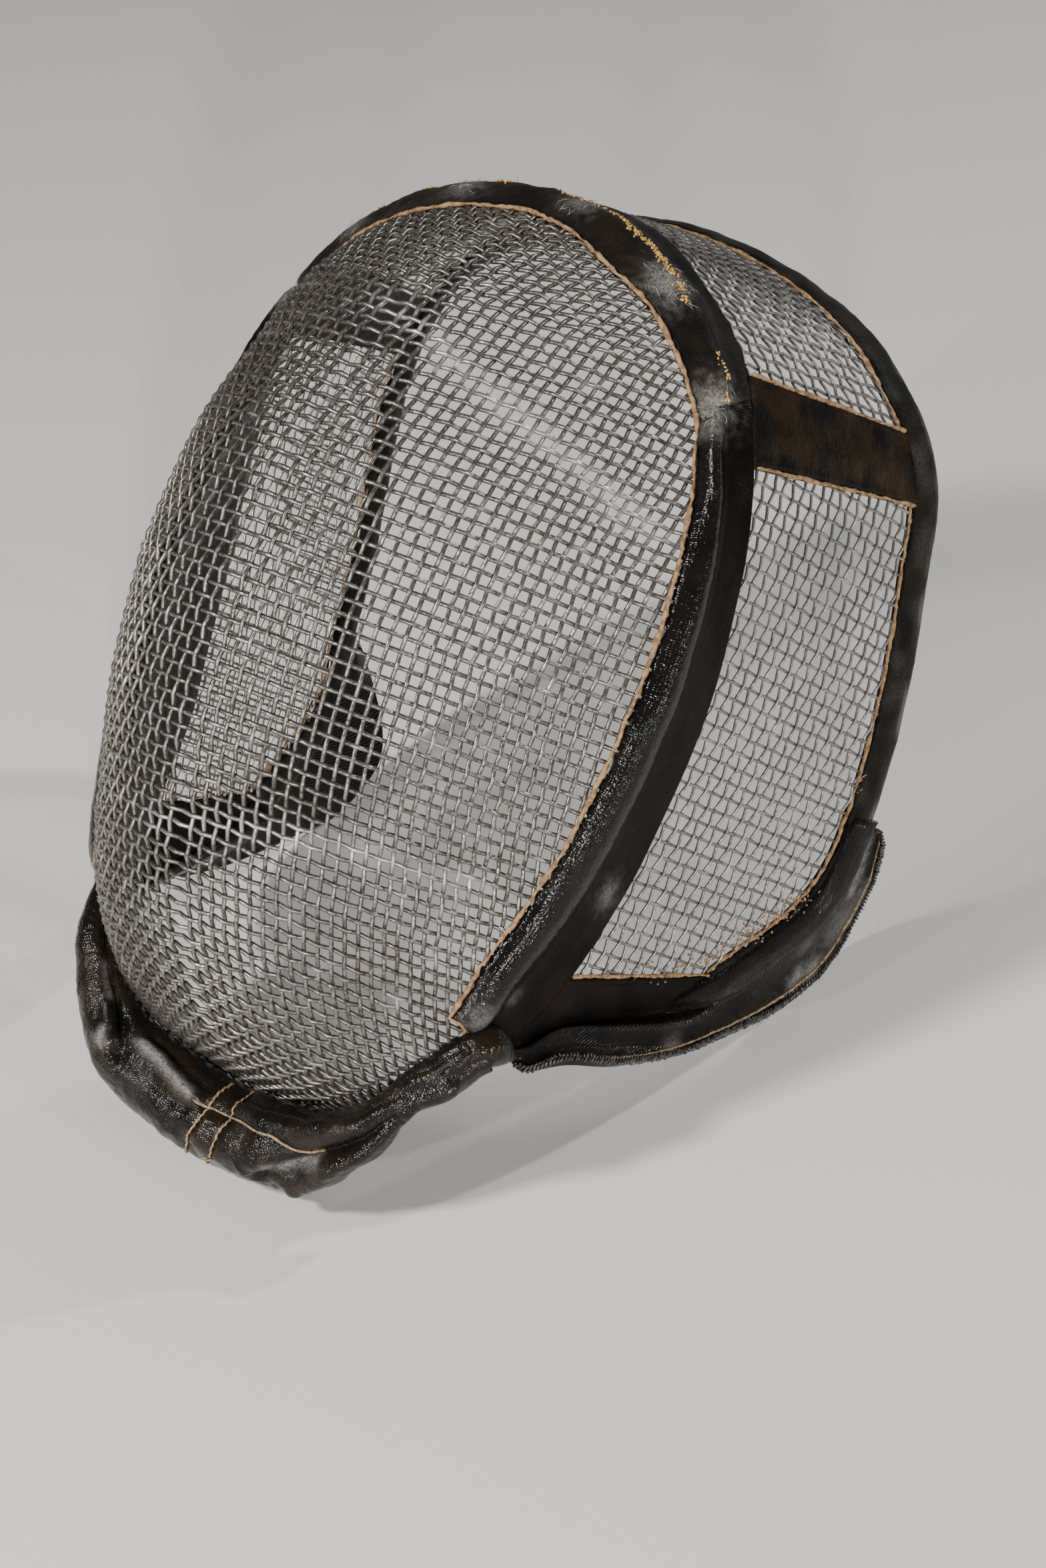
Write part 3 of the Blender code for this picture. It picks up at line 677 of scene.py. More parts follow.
strapCloth = clothMaterial(
    "strap_leather", clothFinish,
    {"Weave": 0.3, "Creases": 0.4, "Scuffs": 0.3, "Brown": 0.9, "Gloss": 0.30, "Matt": 0.3, "Pebble": 0.6},
    Specular_IOR_Level=0.08,
)
tanEdge = speckledMaterial(
    "tan_edge", (0.40, 0.235, 0.105, 1), (0.19, 0.095, 0.04, 1), 520.0, 0.72, 0.0002
)
dustyEdge = speckledMaterial(
    "dusty_edge", (0.34, 0.27, 0.19, 1), (0.13, 0.10, 0.075, 1), 600.0, 0.8, 0.0002
)
tanThread = speckledMaterial(
    "tan_thread", (0.40, 0.27, 0.145, 1), (0.17, 0.10, 0.05, 1), 900.0, 0.65, 0.0001
)
blackThread = speckledMaterial(
    "black_thread", (0.010, 0.009, 0.008, 1), (0.07, 0.065, 0.06, 1), 700.0, 0.22, 0.0001
)
amber = speckledMaterial(
    "amber_glue", (0.72, 0.44, 0.12, 1), (0.36, 0.17, 0.03, 1), 800.0, 0.18, 0.0001
)
lint = speckledMaterial("lint", (0.42, 0.40, 0.37, 1), (0.20, 0.18, 0.16, 1), 900.0, 0.9, 0.0001)
print("materials made")

# ---- face wires ----

faceWire = {
    "pitch": 0.0042,
    "radius": 0.00069,
    "crimp": 0.00060,
    "wander": 0.00010,
    "dent": 0.0012,
    "dentWidth": 0.0032,
    "pushed": 0.0026,
}

# worn creases across the mesh, as points across and up the face
creaseTable = (
    {"name": "brow", "path": ((-0.006, 0.090), (0.016, 0.085), (0.032, 0.077), (0.047, 0.071), (0.060, 0.065), (0.071, 0.060), (0.081, 0.054)), "wear": 0.75},
    {"name": "jaw", "path": ((-0.012, -0.075), (0.018, -0.0675), (0.045, -0.0625), (0.0595, -0.0615), (0.0725, -0.060)), "wear": 0.60},
)


def nearCrease(x, z):
    # how close a point is to a crease, 1 on it, and how worn the wire is there
    near, wear = 0.0, 0.0
    for crease in creaseTable:
        path = crease["path"]
        for a, b in zip(path, path[1:]):
            ax, az = a
            dx, dz = b[0] - ax, b[1] - az
            share = max(0.0, min(1.0, ((x - ax) * dx + (z - az) * dz) / (dx * dx + dz * dz)))
            gap = math.hypot(x - ax - dx * share, z - az - dz * share)
            value = bell(gap, faceWire["dentWidth"])
            if value > near:
                near, wear = value, value * crease["wear"]
    return near, wear


def arcPlaces(back, pitch, limit):
    # places at equal lengths of wire along a profile, outward from the middle
    places, length, here, step = [0.0], 0.0, 0.0, 0.0001
    while here < limit:
        length += math.hypot(step, back(here + step) - back(here))
        here += step
        if length >= pitch * len(places):
            places.append(here)
    return places


def bothWays(up, down):
    return [-v for v in reversed(down[1:])] + up


def faceNormal(x, z):
    step = 0.0005
    across = (sectionBack(x + step) - sectionBack(x - step)) / (2 * step)
    along = (profileBack(z + step) - profileBack(z - step)) / (2 * step)
    return Vector((across, -1, along)).normalized()


def rimAway(row):
    # direction out of the opening, across and up
    ax, az = openingXz(max(0, row - 0.05))
    bx, bz = openingXz(min(rowsOf["chin"], row + 0.05))
    length = math.hypot(bx - ax, bz - az)
    return (az - bz) / length, (bx - ax) / length


def tuckedRim(row):
    # where the wires end, under the rolls and further under the chin roll
    x, z = openingXz(row)
    awayX, awayZ = rimAway(row)
    tuck = 0.0006 + 0.0028 * smooth(row, 13.75, 14.05)
    tuck += 0.0018 * smooth(row, 14.4, 15.6) * smooth(20.6 - row, 0.0, 1.6)
    return x + awayX * tuck, z + awayZ * tuck


def faceWires():
    half = faceWire["pitch"] / 2
    outs = arcPlaces(sectionBack, half, face["halfWidth"] * 1.05)
    xs = bothWays(outs, outs)
    zUp = arcPlaces(profileBack, half, face["rise"] * 0.999)
    zDown = arcPlaces(lambda v: profileBack(-v), half, face["drop"] * 0.999)
    zs = bothWays(zUp, zDown)
    xZero, zZero = len(outs) - 1, len(zDown) - 1
    rim = [tuckedRim(row) for row in steps(0, rowsOf["chin"], 400)]

    def widthAt(z):
        # half width of the opening at a height
        found = 0.0
        for (ax, az), (bx, bz) in zip(rim, rim[1:]):
            if (az - z) * (bz - z) <= 0 and az != bz:
                found = max(found, ax + (bx - ax) * (z - az) / (bz - az))
        return found

    widths = [widthAt(z) for z in zs]

    def reachAt(x, sign):
        # highest or lowest point of the opening at a place across
        found = 0.0
        for (ax, az), (bx, bz) in zip(rim, rim[1:]):
            if (ax - abs(x)) * (bx - abs(x)) <= 0 and ax != bx:
                value = az + (bz - az) * (abs(x) - ax) / (bx - ax)
                found = max(found, value) if sign > 0 else min(found, value)
        return found

    def bend(x, z, lift):
        normal = faceNormal(x, z)
        near, wear = nearCrease(x, z)
        where = (x, 0.0, z)
        drift = Vector((ripple(where, 60, 3.1), 0, ripple(where, 60, 8.4))) * faceWire["wander"] * 2
        rough = ripple(where, 420, 5.0) * near
        point = Vector((x, sectionBack(x) + profileBack(z), z)) + drift
        pushed = faceWire["pushed"] * bell(math.hypot(x + 0.062, z + 0.055), 0.042)
        point -= normal * (faceWire["dent"] * near * (0.5 + 0.5 * rough) + pushed)
        spots = max(0.0, ripple(where, 240, 2.0) - 0.35) * 1.1
        worn = min(1.0, wear * (0.25 + 1.3 * max(0.0, ripple(where, 500, 1.0) + 0.35)) + spots)
        return point, normal, lift * (1 + 0.5 * rough), worn

    upright, level = [], []
    for i in range(xZero % 2, len(xs), 2):
        x = xs[i]
        top, bottom = reachAt(x, 1), reachAt(x, -1)
        if abs(x) > face["halfWidth"] + 0.0005 or top - bottom < 0.004:
            continue
        line = [(bottom, 0.0)]
        for k, z in enumerate(zs):
            if bottom + 0.0006 < z < top - 0.0006:
                crossing = (k - zZero) % 2 == 0
                parity = ((i - xZero) // 2 + (k - zZero) // 2) % 2
                line.append((z, (1 if parity else -1) if crossing else 0.0))
        line.append((top, 0.0))
        upright.append([bend(x, z, lift) for z, lift in line])
    for k in range(zZero % 2, len(zs), 2):
        z = zs[k]
        if widths[k] < 0.002:
            continue
        line = [(-widths[k], 0.0)]
        for i, x in enumerate(xs):
            if abs(x) < widths[k] - 0.0006:
                crossing = (i - xZero) % 2 == 0
                parity = ((i - xZero) // 2 + (k - zZero) // 2) % 2
                line.append((x, (-1 if parity else 1) if crossing else 0.0))
        line.append((widths[k], 0.0))
        level.append([bend(x, z, lift) for x, lift in line])
    return upright, level


wireNodes = wireTree()
uprightLines, levelLines = faceWires()
wireValues = {
    "Wire radius": faceWire["radius"],
    "Crimp": faceWire["crimp"],
    "Sides": 5,
    "Material": faceSteel,
}
faceUpright = wiresFrom("face_wires_upright", uprightLines, wireNodes, wireValues)
faceLevel = wiresFrom("face_wires_level", levelLines, wireNodes, wireValues)
finishPiece(faceUpright, None, "steel_wire", "face_mesh")
finishPiece(faceLevel, None, "steel_wire", "face_mesh")
print("face wires", len(uprightLines), len(levelLines), len(faceUpright.data.polygons), len(faceLevel.data.polygons))

# ---- side and crown wires ----

sideWire = {"pitch": 0.00477, "radius": 0.00052, "crimp": 0.00050, "wander": 0.00018, "tuck": 0.0015}


def sideGrid(rowLow, rowHigh):
    # the side wall read on level lines and on lines of equal depth
    half = sideWire["pitch"] / 2
    rowPlaces = steps(rowLow, rowHigh, 150)
    acrosses = steps(1.0, 2.0, 44)
    columns = [[wallPoint(row, a) for row in rowPlaces] for a in acrosses]

    def crossAt(column, z):
        for a, b in zip(column, column[1:]):
            if (a.z - z) * (b.z - z) <= 0 and a.z != b.z:
                return a.lerp(b, (z - a.z) / (b.z - a.z))
        return None

    lines = {}
    for k in range(-60, 80):
        z = k * half
        points = [p for p in (crossAt(column, z) for column in columns) if p is not None]
        if len(points) < 2:
            continue
        found = {}
        for m in range(20, 100):
            y = m * half
            for a, b in zip(points, points[1:]):
                if (a.y - y) * (b.y - y) <= 0 and a.y != b.y:
                    found[m] = a.lerp(b, (y - a.y) / (b.y - a.y))
        found["first"], found["last"] = points[0], points[-1]
        lines[k] = found
    return lines


def sideWires():
    lines = sideGrid(rowsOf["strapBottom"], rowsOf["earBottom"])
    outward = Vector((1, 0, 0.12)).normalized()

    def bend(point, lift):
        drift = Vector((0, ripple(point, 70, 4.0), ripple(point, 70, 9.0))) * sideWire["wander"] * 2
        worn = max(0.0, ripple(point, 160, 6.0)) * 0.7
        return point + drift, outward, lift, min(1.0, worn)

    level, upright = [], []
    for k in sorted(lines):
        if k % 2:
            continue
        found = lines[k]
        middle = sorted(m for m in found if isinstance(m, int))
        heading = (found["last"] - found["first"]).normalized()
        line = [bend(found["first"] - heading * sideWire["tuck"], 0.0)]
        for m in middle:
            lift = 0.0 if m % 2 else (1 if (m // 2 + k // 2) % 2 else -1)
            if (found[m] - found["first"]).length > 0.0006 and (found[m] - found["last"]).length > 0.0006:
                line.append(bend(found[m], lift))
        line.append(bend(found["last"] + heading * sideWire["tuck"], 0.0))
        level.append(line)
    for m in range(20, 100, 2):
        run = []
        for k in sorted(lines):
            if m in lines[k]:
                lift = 0.0 if k % 2 else (-1 if (m // 2 + k // 2) % 2 else 1)
                run.append(bend(lines[k][m], lift))
        if len(run) > 2:
            below = (run[0][0] - run[1][0]).normalized() * 0.0036
            above = (run[-1][0] - run[-2][0]).normalized() * 0.0036
            run.insert(0, (run[0][0] + below, outward, 0.0, 0.0))
            run.append((run[-1][0] + above, outward, 0.0, 0.0))
        upright.append(run)
    return level, upright


sideLevel, sideUpright = sideWires()
sideValues = {
    "Wire radius": sideWire["radius"],
    "Crimp": sideWire["crimp"],
    "Sides": 5,
    "Material": sideSteel,
}
earWires = wiresFrom("ear_wires_left", sideLevel + sideUpright, wireNodes, sideValues)
earWiresRight = mirroredPiece(earWires, "ear_wires_right")
finishPiece(earWires, None, "steel_wire", "ear_mesh_left")
finishPiece(earWiresRight, None, "steel_wire", "ear_mesh_right")


def crownWires():
    half = sideWire["pitch"] / 2
    top = rowsOf["strapTop"]
    # rows at equal lengths along the middle of the crown band
    marks, length = [0.0], 0.0
    previous = wallPoint(0, 1.5)
    for row in steps(0, top, 900)[1:]:
        here = wallPoint(row, 1.5)
        length += (here - previous).length
        previous = here
        if length >= half * len(marks):
            marks.append(row)
    rowMarks = bothWays(marks, marks)
    width = (wallPoint(0, 2) - wallPoint(0, 1)).length
    count = int(width / half)
    acrossMarks = [1 + (i + 0.5) / (count + 1) for i in range(count + 1)]
    zero = len(marks) - 1
    lengthwise, crosswise = [], []

    def bend(row, across, lift):
        point, normal = wallFrame(row, across)
        drift = Vector((ripple(point, 70, 4.0), ripple(point, 70, 9.0), 0)) * sideWire["wander"] * 2
        return point + drift, normal, lift, max(0.0, ripple(point, 160, 6.0)) * 0.4

    for i in range(0, len(acrossMarks), 2):
        line = [bend(-top, acrossMarks[i], 0.0)]
        for k, row in enumerate(rowMarks):
            if abs(row) < top - 0.02:
                lift = 0.0 if (k - zero) % 2 else (1 if (i // 2 + (k - zero) // 2) % 2 else -1)
                line.append(bend(row, acrossMarks[i], lift))
        line.append(bend(top, acrossMarks[i], 0.0))
        lengthwise.append(line)
    for k, row in enumerate(rowMarks):
        if (k - zero) % 2 or abs(row) > top - 0.02:
            continue
        line = [bend(row, 1.0, 0.0)]
        for i, across in enumerate(acrossMarks):
            lift = 0.0 if i % 2 else (-1 if (i // 2 + (k - zero) // 2) % 2 else 1)
            line.append(bend(row, across, lift))
        line.append(bend(row, 2.0, 0.0))
        crosswise.append(line)
    return lengthwise + crosswise


crownPiece = wiresFrom("crown_wires", crownWires(), wireNodes, sideValues)
finishPiece(crownPiece, None, "steel_wire", "crown_mesh")
print("side wires", len(earWires.data.polygons), "crown wires", len(crownPiece.data.polygons))

# ---- cloth bands ----

crownTrimSizes = {"ridge": 0.0058, "backing": 0.0042, "rows": 170, "outside": 26, "inside": 8}
crownSection = (
    {"across": 0.00, "outside": 0.25, "inside": 0.30},
    {"across": 0.16, "outside": 0.52, "inside": 0.35},
    {"across": 0.34, "outside": 0.92, "inside": 0.40},
    {"across": 0.46, "outside": 1.00, "inside": 0.40},
    {"across": 0.60, "outside": 0.80, "inside": 0.38},
    {"across": 0.80, "outside": 0.42, "inside": 0.34},
    {"across": 1.00, "outside": 0.24, "inside": 0.30},
)
cheekSizes = {"bulge": 0.0070, "inner": 0.0042, "rows": 200, "outside": 44, "inside": 14}
cheekSection = (
    {"across": 0.00, "outside": 0.20, "inside": 0.20},
    {"across": 0.05, "outside": 0.62, "inside": 0.55},
    {"across": 0.13, "outside": 0.93, "inside": 0.88},
    {"across": 0.21, "outside": 1.00, "inside": 1.00},
    {"across": 0.29, "outside": 0.90, "inside": 0.88},
    {"across": 0.36, "outside": 0.68, "inside": 0.60},
    {"across": 0.44, "outside": 0.43, "inside": 0.36},
    {"across": 0.55, "outside": 0.25, "inside": 0.31},
    {"across": 1.00, "outside": 0.19, "inside": 0.31},
)

# rubbed spots on the bands: row, share across, radius and strength
scuffSpots = (
    {"row": 0.70, "across": 0.43, "radius": 0.0050, "strength": 0.75},
    {"row": 2.84, "across": 0.30, "radius": 0.0060, "strength": 0.90},
    {"row": 3.05, "across": 0.42, "radius": 0.0035, "strength": 0.55},
    {"row": 5.05, "across": 0.25, "radius": 0.0055, "strength": 0.95},
    {"row": 5.45, "across": 0.20, "radius": 0.0040, "strength": 0.45},
    {"row": 12.11, "across": 0.78, "radius": 0.0045, "strength": 0.55},
    {"row": 13.40, "across": 0.49, "radius": 0.0030, "strength": 0.35},
    {"row": 13.72, "across": 0.22, "radius": 0.0045, "strength": 0.60},
    {"row": 12.55, "across": 1.12, "radius": 0.0030, "strength": 0.40},
    {"row": -1.40, "across": 0.40, "radius": 0.0060, "strength": 0.60},
    {"row": -3.60, "across": 0.35, "radius": 0.0050, "strength": 0.50},
    {"row": -5.30, "across": 0.22, "radius": 0.0050, "strength": 0.70},
)
scuffPlaces = [(wallPoint(s["row"], s["across"]), s["radius"], s["strength"]) for s in scuffSpots]


def scuffAt(point):
    found = 0.0
    for place, radius, strength in scuffPlaces:
        gap = (point - place).length
        if gap < radius * 3:
            ragged = 1 + 0.6 * ripple(point, 500, 2.2)
            found = max(found, strength * bell(gap, radius * ragged))
    return min(1.0, found)


def bandRing(row, section, sizes, full, first, last, bumps):
    # ring of a band: up the outer skin and back along the inner skin
    ring, uvs, scuffs = [], [], []
    length = rowLength(row)
    width = (wallLine(row, "front") - openingPoint(row)).length
    for skin, count in (("outside", sizes["outside"]), ("inside", sizes["inside"])):
        acrosses = steps(0, 1, count)
        for share in acrosses if skin == "outside" else reversed(acrosses):
            across = first + (last - first) * share
            point, normal = wallFrame(row, across)
            stand = lookUp(section, "across", share, skin)
            if skin == "outside":
                height = sizes["outer"] * stand * full + bumps(row, share, point)
                ring.append(point + normal * height)
                uvs.append((length * 100, share * width * 100))
            else:
                ring.append(point - normal * sizes["back"] * stand * full)
                uvs.append((length * 100, -share * width * 100 - 0.5))
            scuffs.append(scuffAt(point) if skin == "outside" else 0.0)
    return ring, uvs, scuffs


rowMarksLength = [0.0]
for rowStep in range(1, 281):
    gapLength = (wallPoint(rowStep / 20, 0.3) - wallPoint((rowStep - 1) / 20, 0.3)).length
    rowMarksLength.append(rowMarksLength[-1] + gapLength)


def rowLength(row):
    # length along the band from the crown to a row
    place = min(abs(row) * 20, 279.999)
    low = int(place)
    value = rowMarksLength[low] + (rowMarksLength[low + 1] - rowMarksLength[low]) * (place - low)
    return math.copysign(value, row)


def bandPiece(name, rows, section, sizes, fullness, bumps):
    rings, uvRings, scuffs = [], [], []
    for row in rows:
        gap = 0.0003 / (wallLine(row, "front") - openingPoint(row)).length
        ring, uvs, marks = bandRing(row, section, sizes, fullness(row), gap, 1 - gap, bumps)
        rings.append(ring)
        uvRings.append(uvs)
        scuffs.extend(marks)
    return loftedSkin(name, rings, uvRings, {"scuff_and_sheen": scuffs})


def trimBumps(row, share, point):
    broad = ripple(point, 120, 1.5) * 0.0006
    fine = ripple(point, 420, 2.5) * 0.00025
    return (broad + fine) * smooth(share, 0, 0.12) * smooth(1 - share, 0, 0.12)


crownSizes = {**crownTrimSizes, "outer": crownTrimSizes["ridge"], "back": crownTrimSizes["backing"]}
trimRows = steps(-rowsOf["temple"], rowsOf["temple"], crownTrimSizes["rows"])
trim = bandPiece("crown_trim_cloth", trimRows, crownSection, crownSizes, lambda row: 1.0, trimBumps)
finishPiece(trim, wornCloth, "worn_cloth", "crown_trim")


def cheekEnds(row):
    first, last = rowsOf["temple"] - 0.06, rowsOf["jaw"]
    place = (row - first) / (last - first)
    near = min(place, 1 - place)
    return 0.45 + 0.55 * math.sqrt(max(0.0, 1 - (1 - min(1.0, near / 0.05)) ** 2))


def cheekBumps(row, share, point):
    on = smooth(share, 0.0, 0.08) * (1 - smooth(share, 0.30, 0.60))
    lumps = ripple(point, 60, 3.5) * 0.0006
    folds = ripple((rowLength(row) * 520, share * 1.2, 0), 1.0, 6.0) * 0.00020
    flat = ripple(point, 180, 7.5) * 0.00018
    return on * (lumps + folds) + (1 - on) * flat * smooth(1 - share, 0, 0.1)


cheekAll = {**cheekSizes, "outer": cheekSizes["bulge"], "back": cheekSizes["inner"]}
firstRow = rowsOf["temple"] - 0.06
cheekRows = [
    firstRow + (rowsOf["jaw"] - firstRow) * (0.5 - 0.5 * math.cos(math.pi * (0.15 * t + 0.85 * t)))
    for t in steps(0, 1, cheekSizes["rows"])
]
cheekLeft = bandPiece("cheek_roll_cloth_left", cheekRows, cheekSection, cheekAll, cheekEnds, cheekBumps)
cheekRight = mirroredPiece(cheekLeft, "cheek_roll_cloth_right")
for piece, node in ((cheekLeft, "cheek_roll_left"), (cheekRight, "cheek_roll_right")):
    finishPiece(piece, patent, "oilcloth", node)
    # the flat strip behind the roll is duller than the roll
    piece.data.materials.append(flatCloth)
    around = cheekSizes["outside"] + cheekSizes["inside"] + 2
    flatFrom = int(cheekSizes["outside"] * 0.42)
    for polygon in piece.data.polygons[: around * (len(cheekRows) - 1)]:
        if flatFrom <= polygon.index % around < cheekSizes["outside"]:
            polygon.material_index = 1
print("bands made", len(trim.data.polygons), len(cheekLeft.data.polygons))


def patchPiece(name, firstPlace, lastPlace, thickness, crown, gap=0.006, tuck=0.03):
    # flat patch on the side wall with folded, slightly thicker edges
    rowCount, acrossCount = 36, 70
    rows = steps(firstPlace + gap, lastPlace - gap, rowCount)
    acrosses = steps(1 - tuck, 2 + tuck, acrossCount)
    rings, uvRings, scuffs = [], [], []
    for across in acrosses:
        outer, inner, outerUv, innerUv, marks = [], [], [], [], []
        for n, row in enumerate(rows):
            share = n / rowCount
            point, normal = wallFrame(row, across)
            side = min(share, 1 - share)
            end = max(0.0, min(across - 1, 2 - across))
            rounding = math.sqrt(max(0.05, smooth(side, -0.02, 0.05)))
            hem = bell(side - 0.07, 0.035) * 0.0005
            swell = crown * math.sin(math.pi * share) * smooth(end, 0, 0.2)
            creased = ripple(point, 150, 5.5) * 0.00035 + ripple(point, 420, 1.5) * 0.0001
            height = thickness / 2 * rounding + hem + swell + creased * smooth(side, 0, 0.1)
            outer.append(point + normal * height)
            inner.append(point - normal * thickness / 2 * rounding)
            length = (share * (wallPoint(rows[-1], across) - wallPoint(rows[0], across)).length) * 100
            outerUv.append((across * 7.0, length))
            innerUv.append((across * 7.0, length + 3.0))
            marks.append(scuffAt(point))
        rings.append(outer + inner[::-1])
        uvRings.append(outerUv + innerUv[::-1])
        scuffs.extend(marks + [0.0] * len(inner))
    return loftedSkin(name, rings, uvRings, {"scuff_and_sheen": scuffs})


strapLeft = patchPiece("temple_strap_cloth_left", rowsOf["strapTop"], rowsOf["strapBottom"], 0.0030, 0.0004)
strapRight = mirroredPiece(strapLeft, "temple_strap_cloth_right")
jawLeft = patchPiece("jaw_panel_cloth_left", rowsOf["earBottom"], rowsOf["jaw"], 0.0024, 0.0)
jawRight = mirroredPiece(jawLeft, "jaw_panel_cloth_right")
finishPiece(strapLeft, strapCloth, "strap", "temple_strap_left")
finishPiece(strapRight, strapCloth, "strap", "temple_strap_right")
finishPiece(jawLeft, flatCloth, "oilcloth", "jaw_panel_left")
finishPiece(jawRight, flatCloth, "oilcloth", "jaw_panel_right")

# ---- rear binding ----

bindingSizes = {"width": 0.0125, "bead": 0.0052, "rows": 260}
bindingSection = (
    {"across": 0.00, "outside": 0.36, "inside": 0.36},
    {"across": 0.35, "outside": 0.62, "inside": 0.58},
    {"across": 0.70, "outside": 0.62, "inside": 0.60},
    {"across": 0.92, "outside": 0.42, "inside": 0.42},
    {"across": 1.00, "outside": 0.15, "inside": 0.15},
)


def rearEdge(row):
    point, normal = wallFrame(row, 2)
    low = max(-rowsOf["earBottom"], row - 0.05)
    high = min(rowsOf["earBottom"], row + 0.05)
    along = (wallLine(high, "rear") - wallLine(low, "rear")).normalized()
    away = normal.cross(along).normalized()
    middle = Vector((0, wallLine(0, "front").y, 0))
    if away.dot(point - middle) < 0:
        away.negate()
    return point, away, normal


def rearBinding():
    rings, uvRings, scuffs = [], [], []
    length, previous = 0.0, None
    last = rowsOf["earBottom"]
    rows = [(row, 0.0) for row in steps(-last, last, bindingSizes["rows"])]
    for row, past in [(-last, -0.0035)] + rows + [(last, 0.0035)]:
        point, away, normal = rearEdge(row)
        ahead = wallLine(min(last, row + 0.05), "rear") - wallLine(max(-last, row - 0.05), "rear")
        point = point + ahead.normalized() * past
        length += (point - previous).length if previous is not None else 0.0
        previous = point
        outer, inner, outerUv, innerUv = [], [], [], []
        for share in steps(0, 1, 14):
            place = point + away * (0.0006 + bindingSizes["width"] * share)
            lump = ripple(place, 140, 2.0) * 0.0005 + ripple(place, 420, 3.0) * 0.0002
            edge = smooth(share, 0, 0.1) * smooth(1 - share, 0, 0.15)
            out = bindingSizes["bead"] * lookUp(bindingSection, "across", share, "outside")
            back = bindingSizes["bead"] * lookUp(bindingSection, "across", share, "inside")
            outer.append(place + normal * (out + lump * edge))
            inner.append(place - normal * (back + lump * edge))
            outerUv.append((length * 100, share * 1.3))
            innerUv.append((length * 100, -share * 1.3 - 0.4))
        rings.append(outer + inner[::-1])
        uvRings.append(outerUv + innerUv[::-1])
        for n, place in enumerate(outer + inner[::-1]):
            rub = 0.5 if 9 <= n <= 18 else 0.12
            scuffs.append(min(1.0, max(0.0, ripple(place, 130, 9.0) + 0.1) * rub * 1.4))
    return loftedSkin("rear_binding_cloth", rings, uvRings, {"scuff_and_sheen": scuffs})


binding = rearBinding()
finishPiece(binding, wornCloth, "worn_cloth", "rear_binding")

# ---- neck wings ----

wingSizes = {"roll": 0.0076, "flap": 0.0034, "welt": 0.0042, "stations": 170}
wingTable = (
    {"edge": "jaw", "at": 0.96, "free": (0.722, 0.540, -0.668), "fullness": 0.30},
    {"edge": "jaw", "at": 1.05, "free": (0.752, 0.556, -0.672), "fullness": 0.70},
    {"edge": "jaw", "at": 1.22, "free": (0.815, 0.598, -0.633), "fullness": 0.90},
    {"edge": "jaw", "at": 1.48, "free": (0.860, 0.711, -0.611), "fullness": 1.00},
    {"edge": "jaw", "at": 1.74, "free": (0.881, 0.852, -0.558), "fullness": 1.00},
    {"edge": "rear", "at": 12.98, "free": (0.890, 0.986, -0.478), "fullness": 1.00},
    {"edge": "rear", "at": 12.30, "free": (0.898, 1.114, -0.389), "fullness": 1.00},
    {"edge": "rear", "at": 11.60, "free": (0.923, 1.192, -0.266), "fullness": 0.95},
    {"edge": "rear", "at": 10.90, "free": (0.959, 1.179, -0.150), "fullness": 0.80},
    {"edge": "rear", "at": 10.20, "free": (1.018, 1.108, -0.034), "fullness": 0.55},
    {"edge": "rear", "at": 10.02, "free": (1.004, 1.066, -0.006), "fullness": 0.30},
)
wingSection = (
    {"across": 0.00, "part": "roll", "outside": 0.22, "inside": 0.25},
    {"across": 0.05, "part": "roll", "outside": 0.66, "inside": 0.36},
    {"across": 0.12, "part": "roll", "outside": 0.96, "inside": 0.42},
    {"across": 0.25, "part": "roll", "outside": 1.00, "inside": 0.45},
    {"across": 0.40, "part": "roll", "outside": 0.62, "inside": 0.40},
    {"across": 0.55, "part": "flap", "outside": 0.62, "inside": 0.50},
    {"across": 0.84, "part": "flap", "outside": 0.50, "inside": 0.50},
    {"across": 0.92, "part": "welt", "outside": 0.60, "inside": 0.55},
    {"across": 1.00, "part": "welt", "outside": 0.30, "inside": 0.30},
)
wingHeights = [
    {
        "across": r["across"],
        "outside": r["outside"] * wingSizes[r["part"]],
        "inside": r["inside"] * wingSizes[r["part"]],
    }
    for r in wingSection
]


def hemPoint(edge, at):
    if edge == "jaw":
        return wallPoint(rowsOf["jaw"], at)
    point, away, _ = rearEdge(at)
    return point + away * (0.0006 + bindingSizes["width"])


def wingTop(row, hem, free):
    # where the cloth starts: tucked under the jaw panel, or over the rear binding at the raw edge
    if row["edge"] == "jaw":
        return hem + (hem - free).normalized() * 0.0024
    point, away, _ = rearEdge(row["at"])
    return point + away * 0.0004


wingHems = [hemPoint(r["edge"], r["at"]) for r in wingTable]
wingFrees = [
    Vector((r["free"][0] * rear["halfWidth"], r["free"][1] * rear["depth"], r["free"][2] * rear["rise"]))
    for r in wingTable
]
wingTops = [wingTop(r, h, f) for r, h, f in zip(wingTable, wingHems, wingFrees)]
wingLast = len(wingTable) - 1


def wingFrame(place, share):
    # point of the flap, its outward normal and its fullness; below 0 the cloth laps over the band
    hem = throughValues(wingHems, place)
    free = throughValues(wingFrees, place)
    ahead = throughValues(wingHems, min(wingLast, place + 0.05)) - throughValues(wingHems, max(0, place - 0.05))
    normal = ahead.cross(free - hem).normalized()
    if normal.x < 0:
        normal.negate()
    full = throughValues([r["fullness"] for r in wingTable], place)
    at = hem.lerp(free, share) if share >= 0 else hem.lerp(throughValues(wingTops, place), -share)
    return at, normal, full


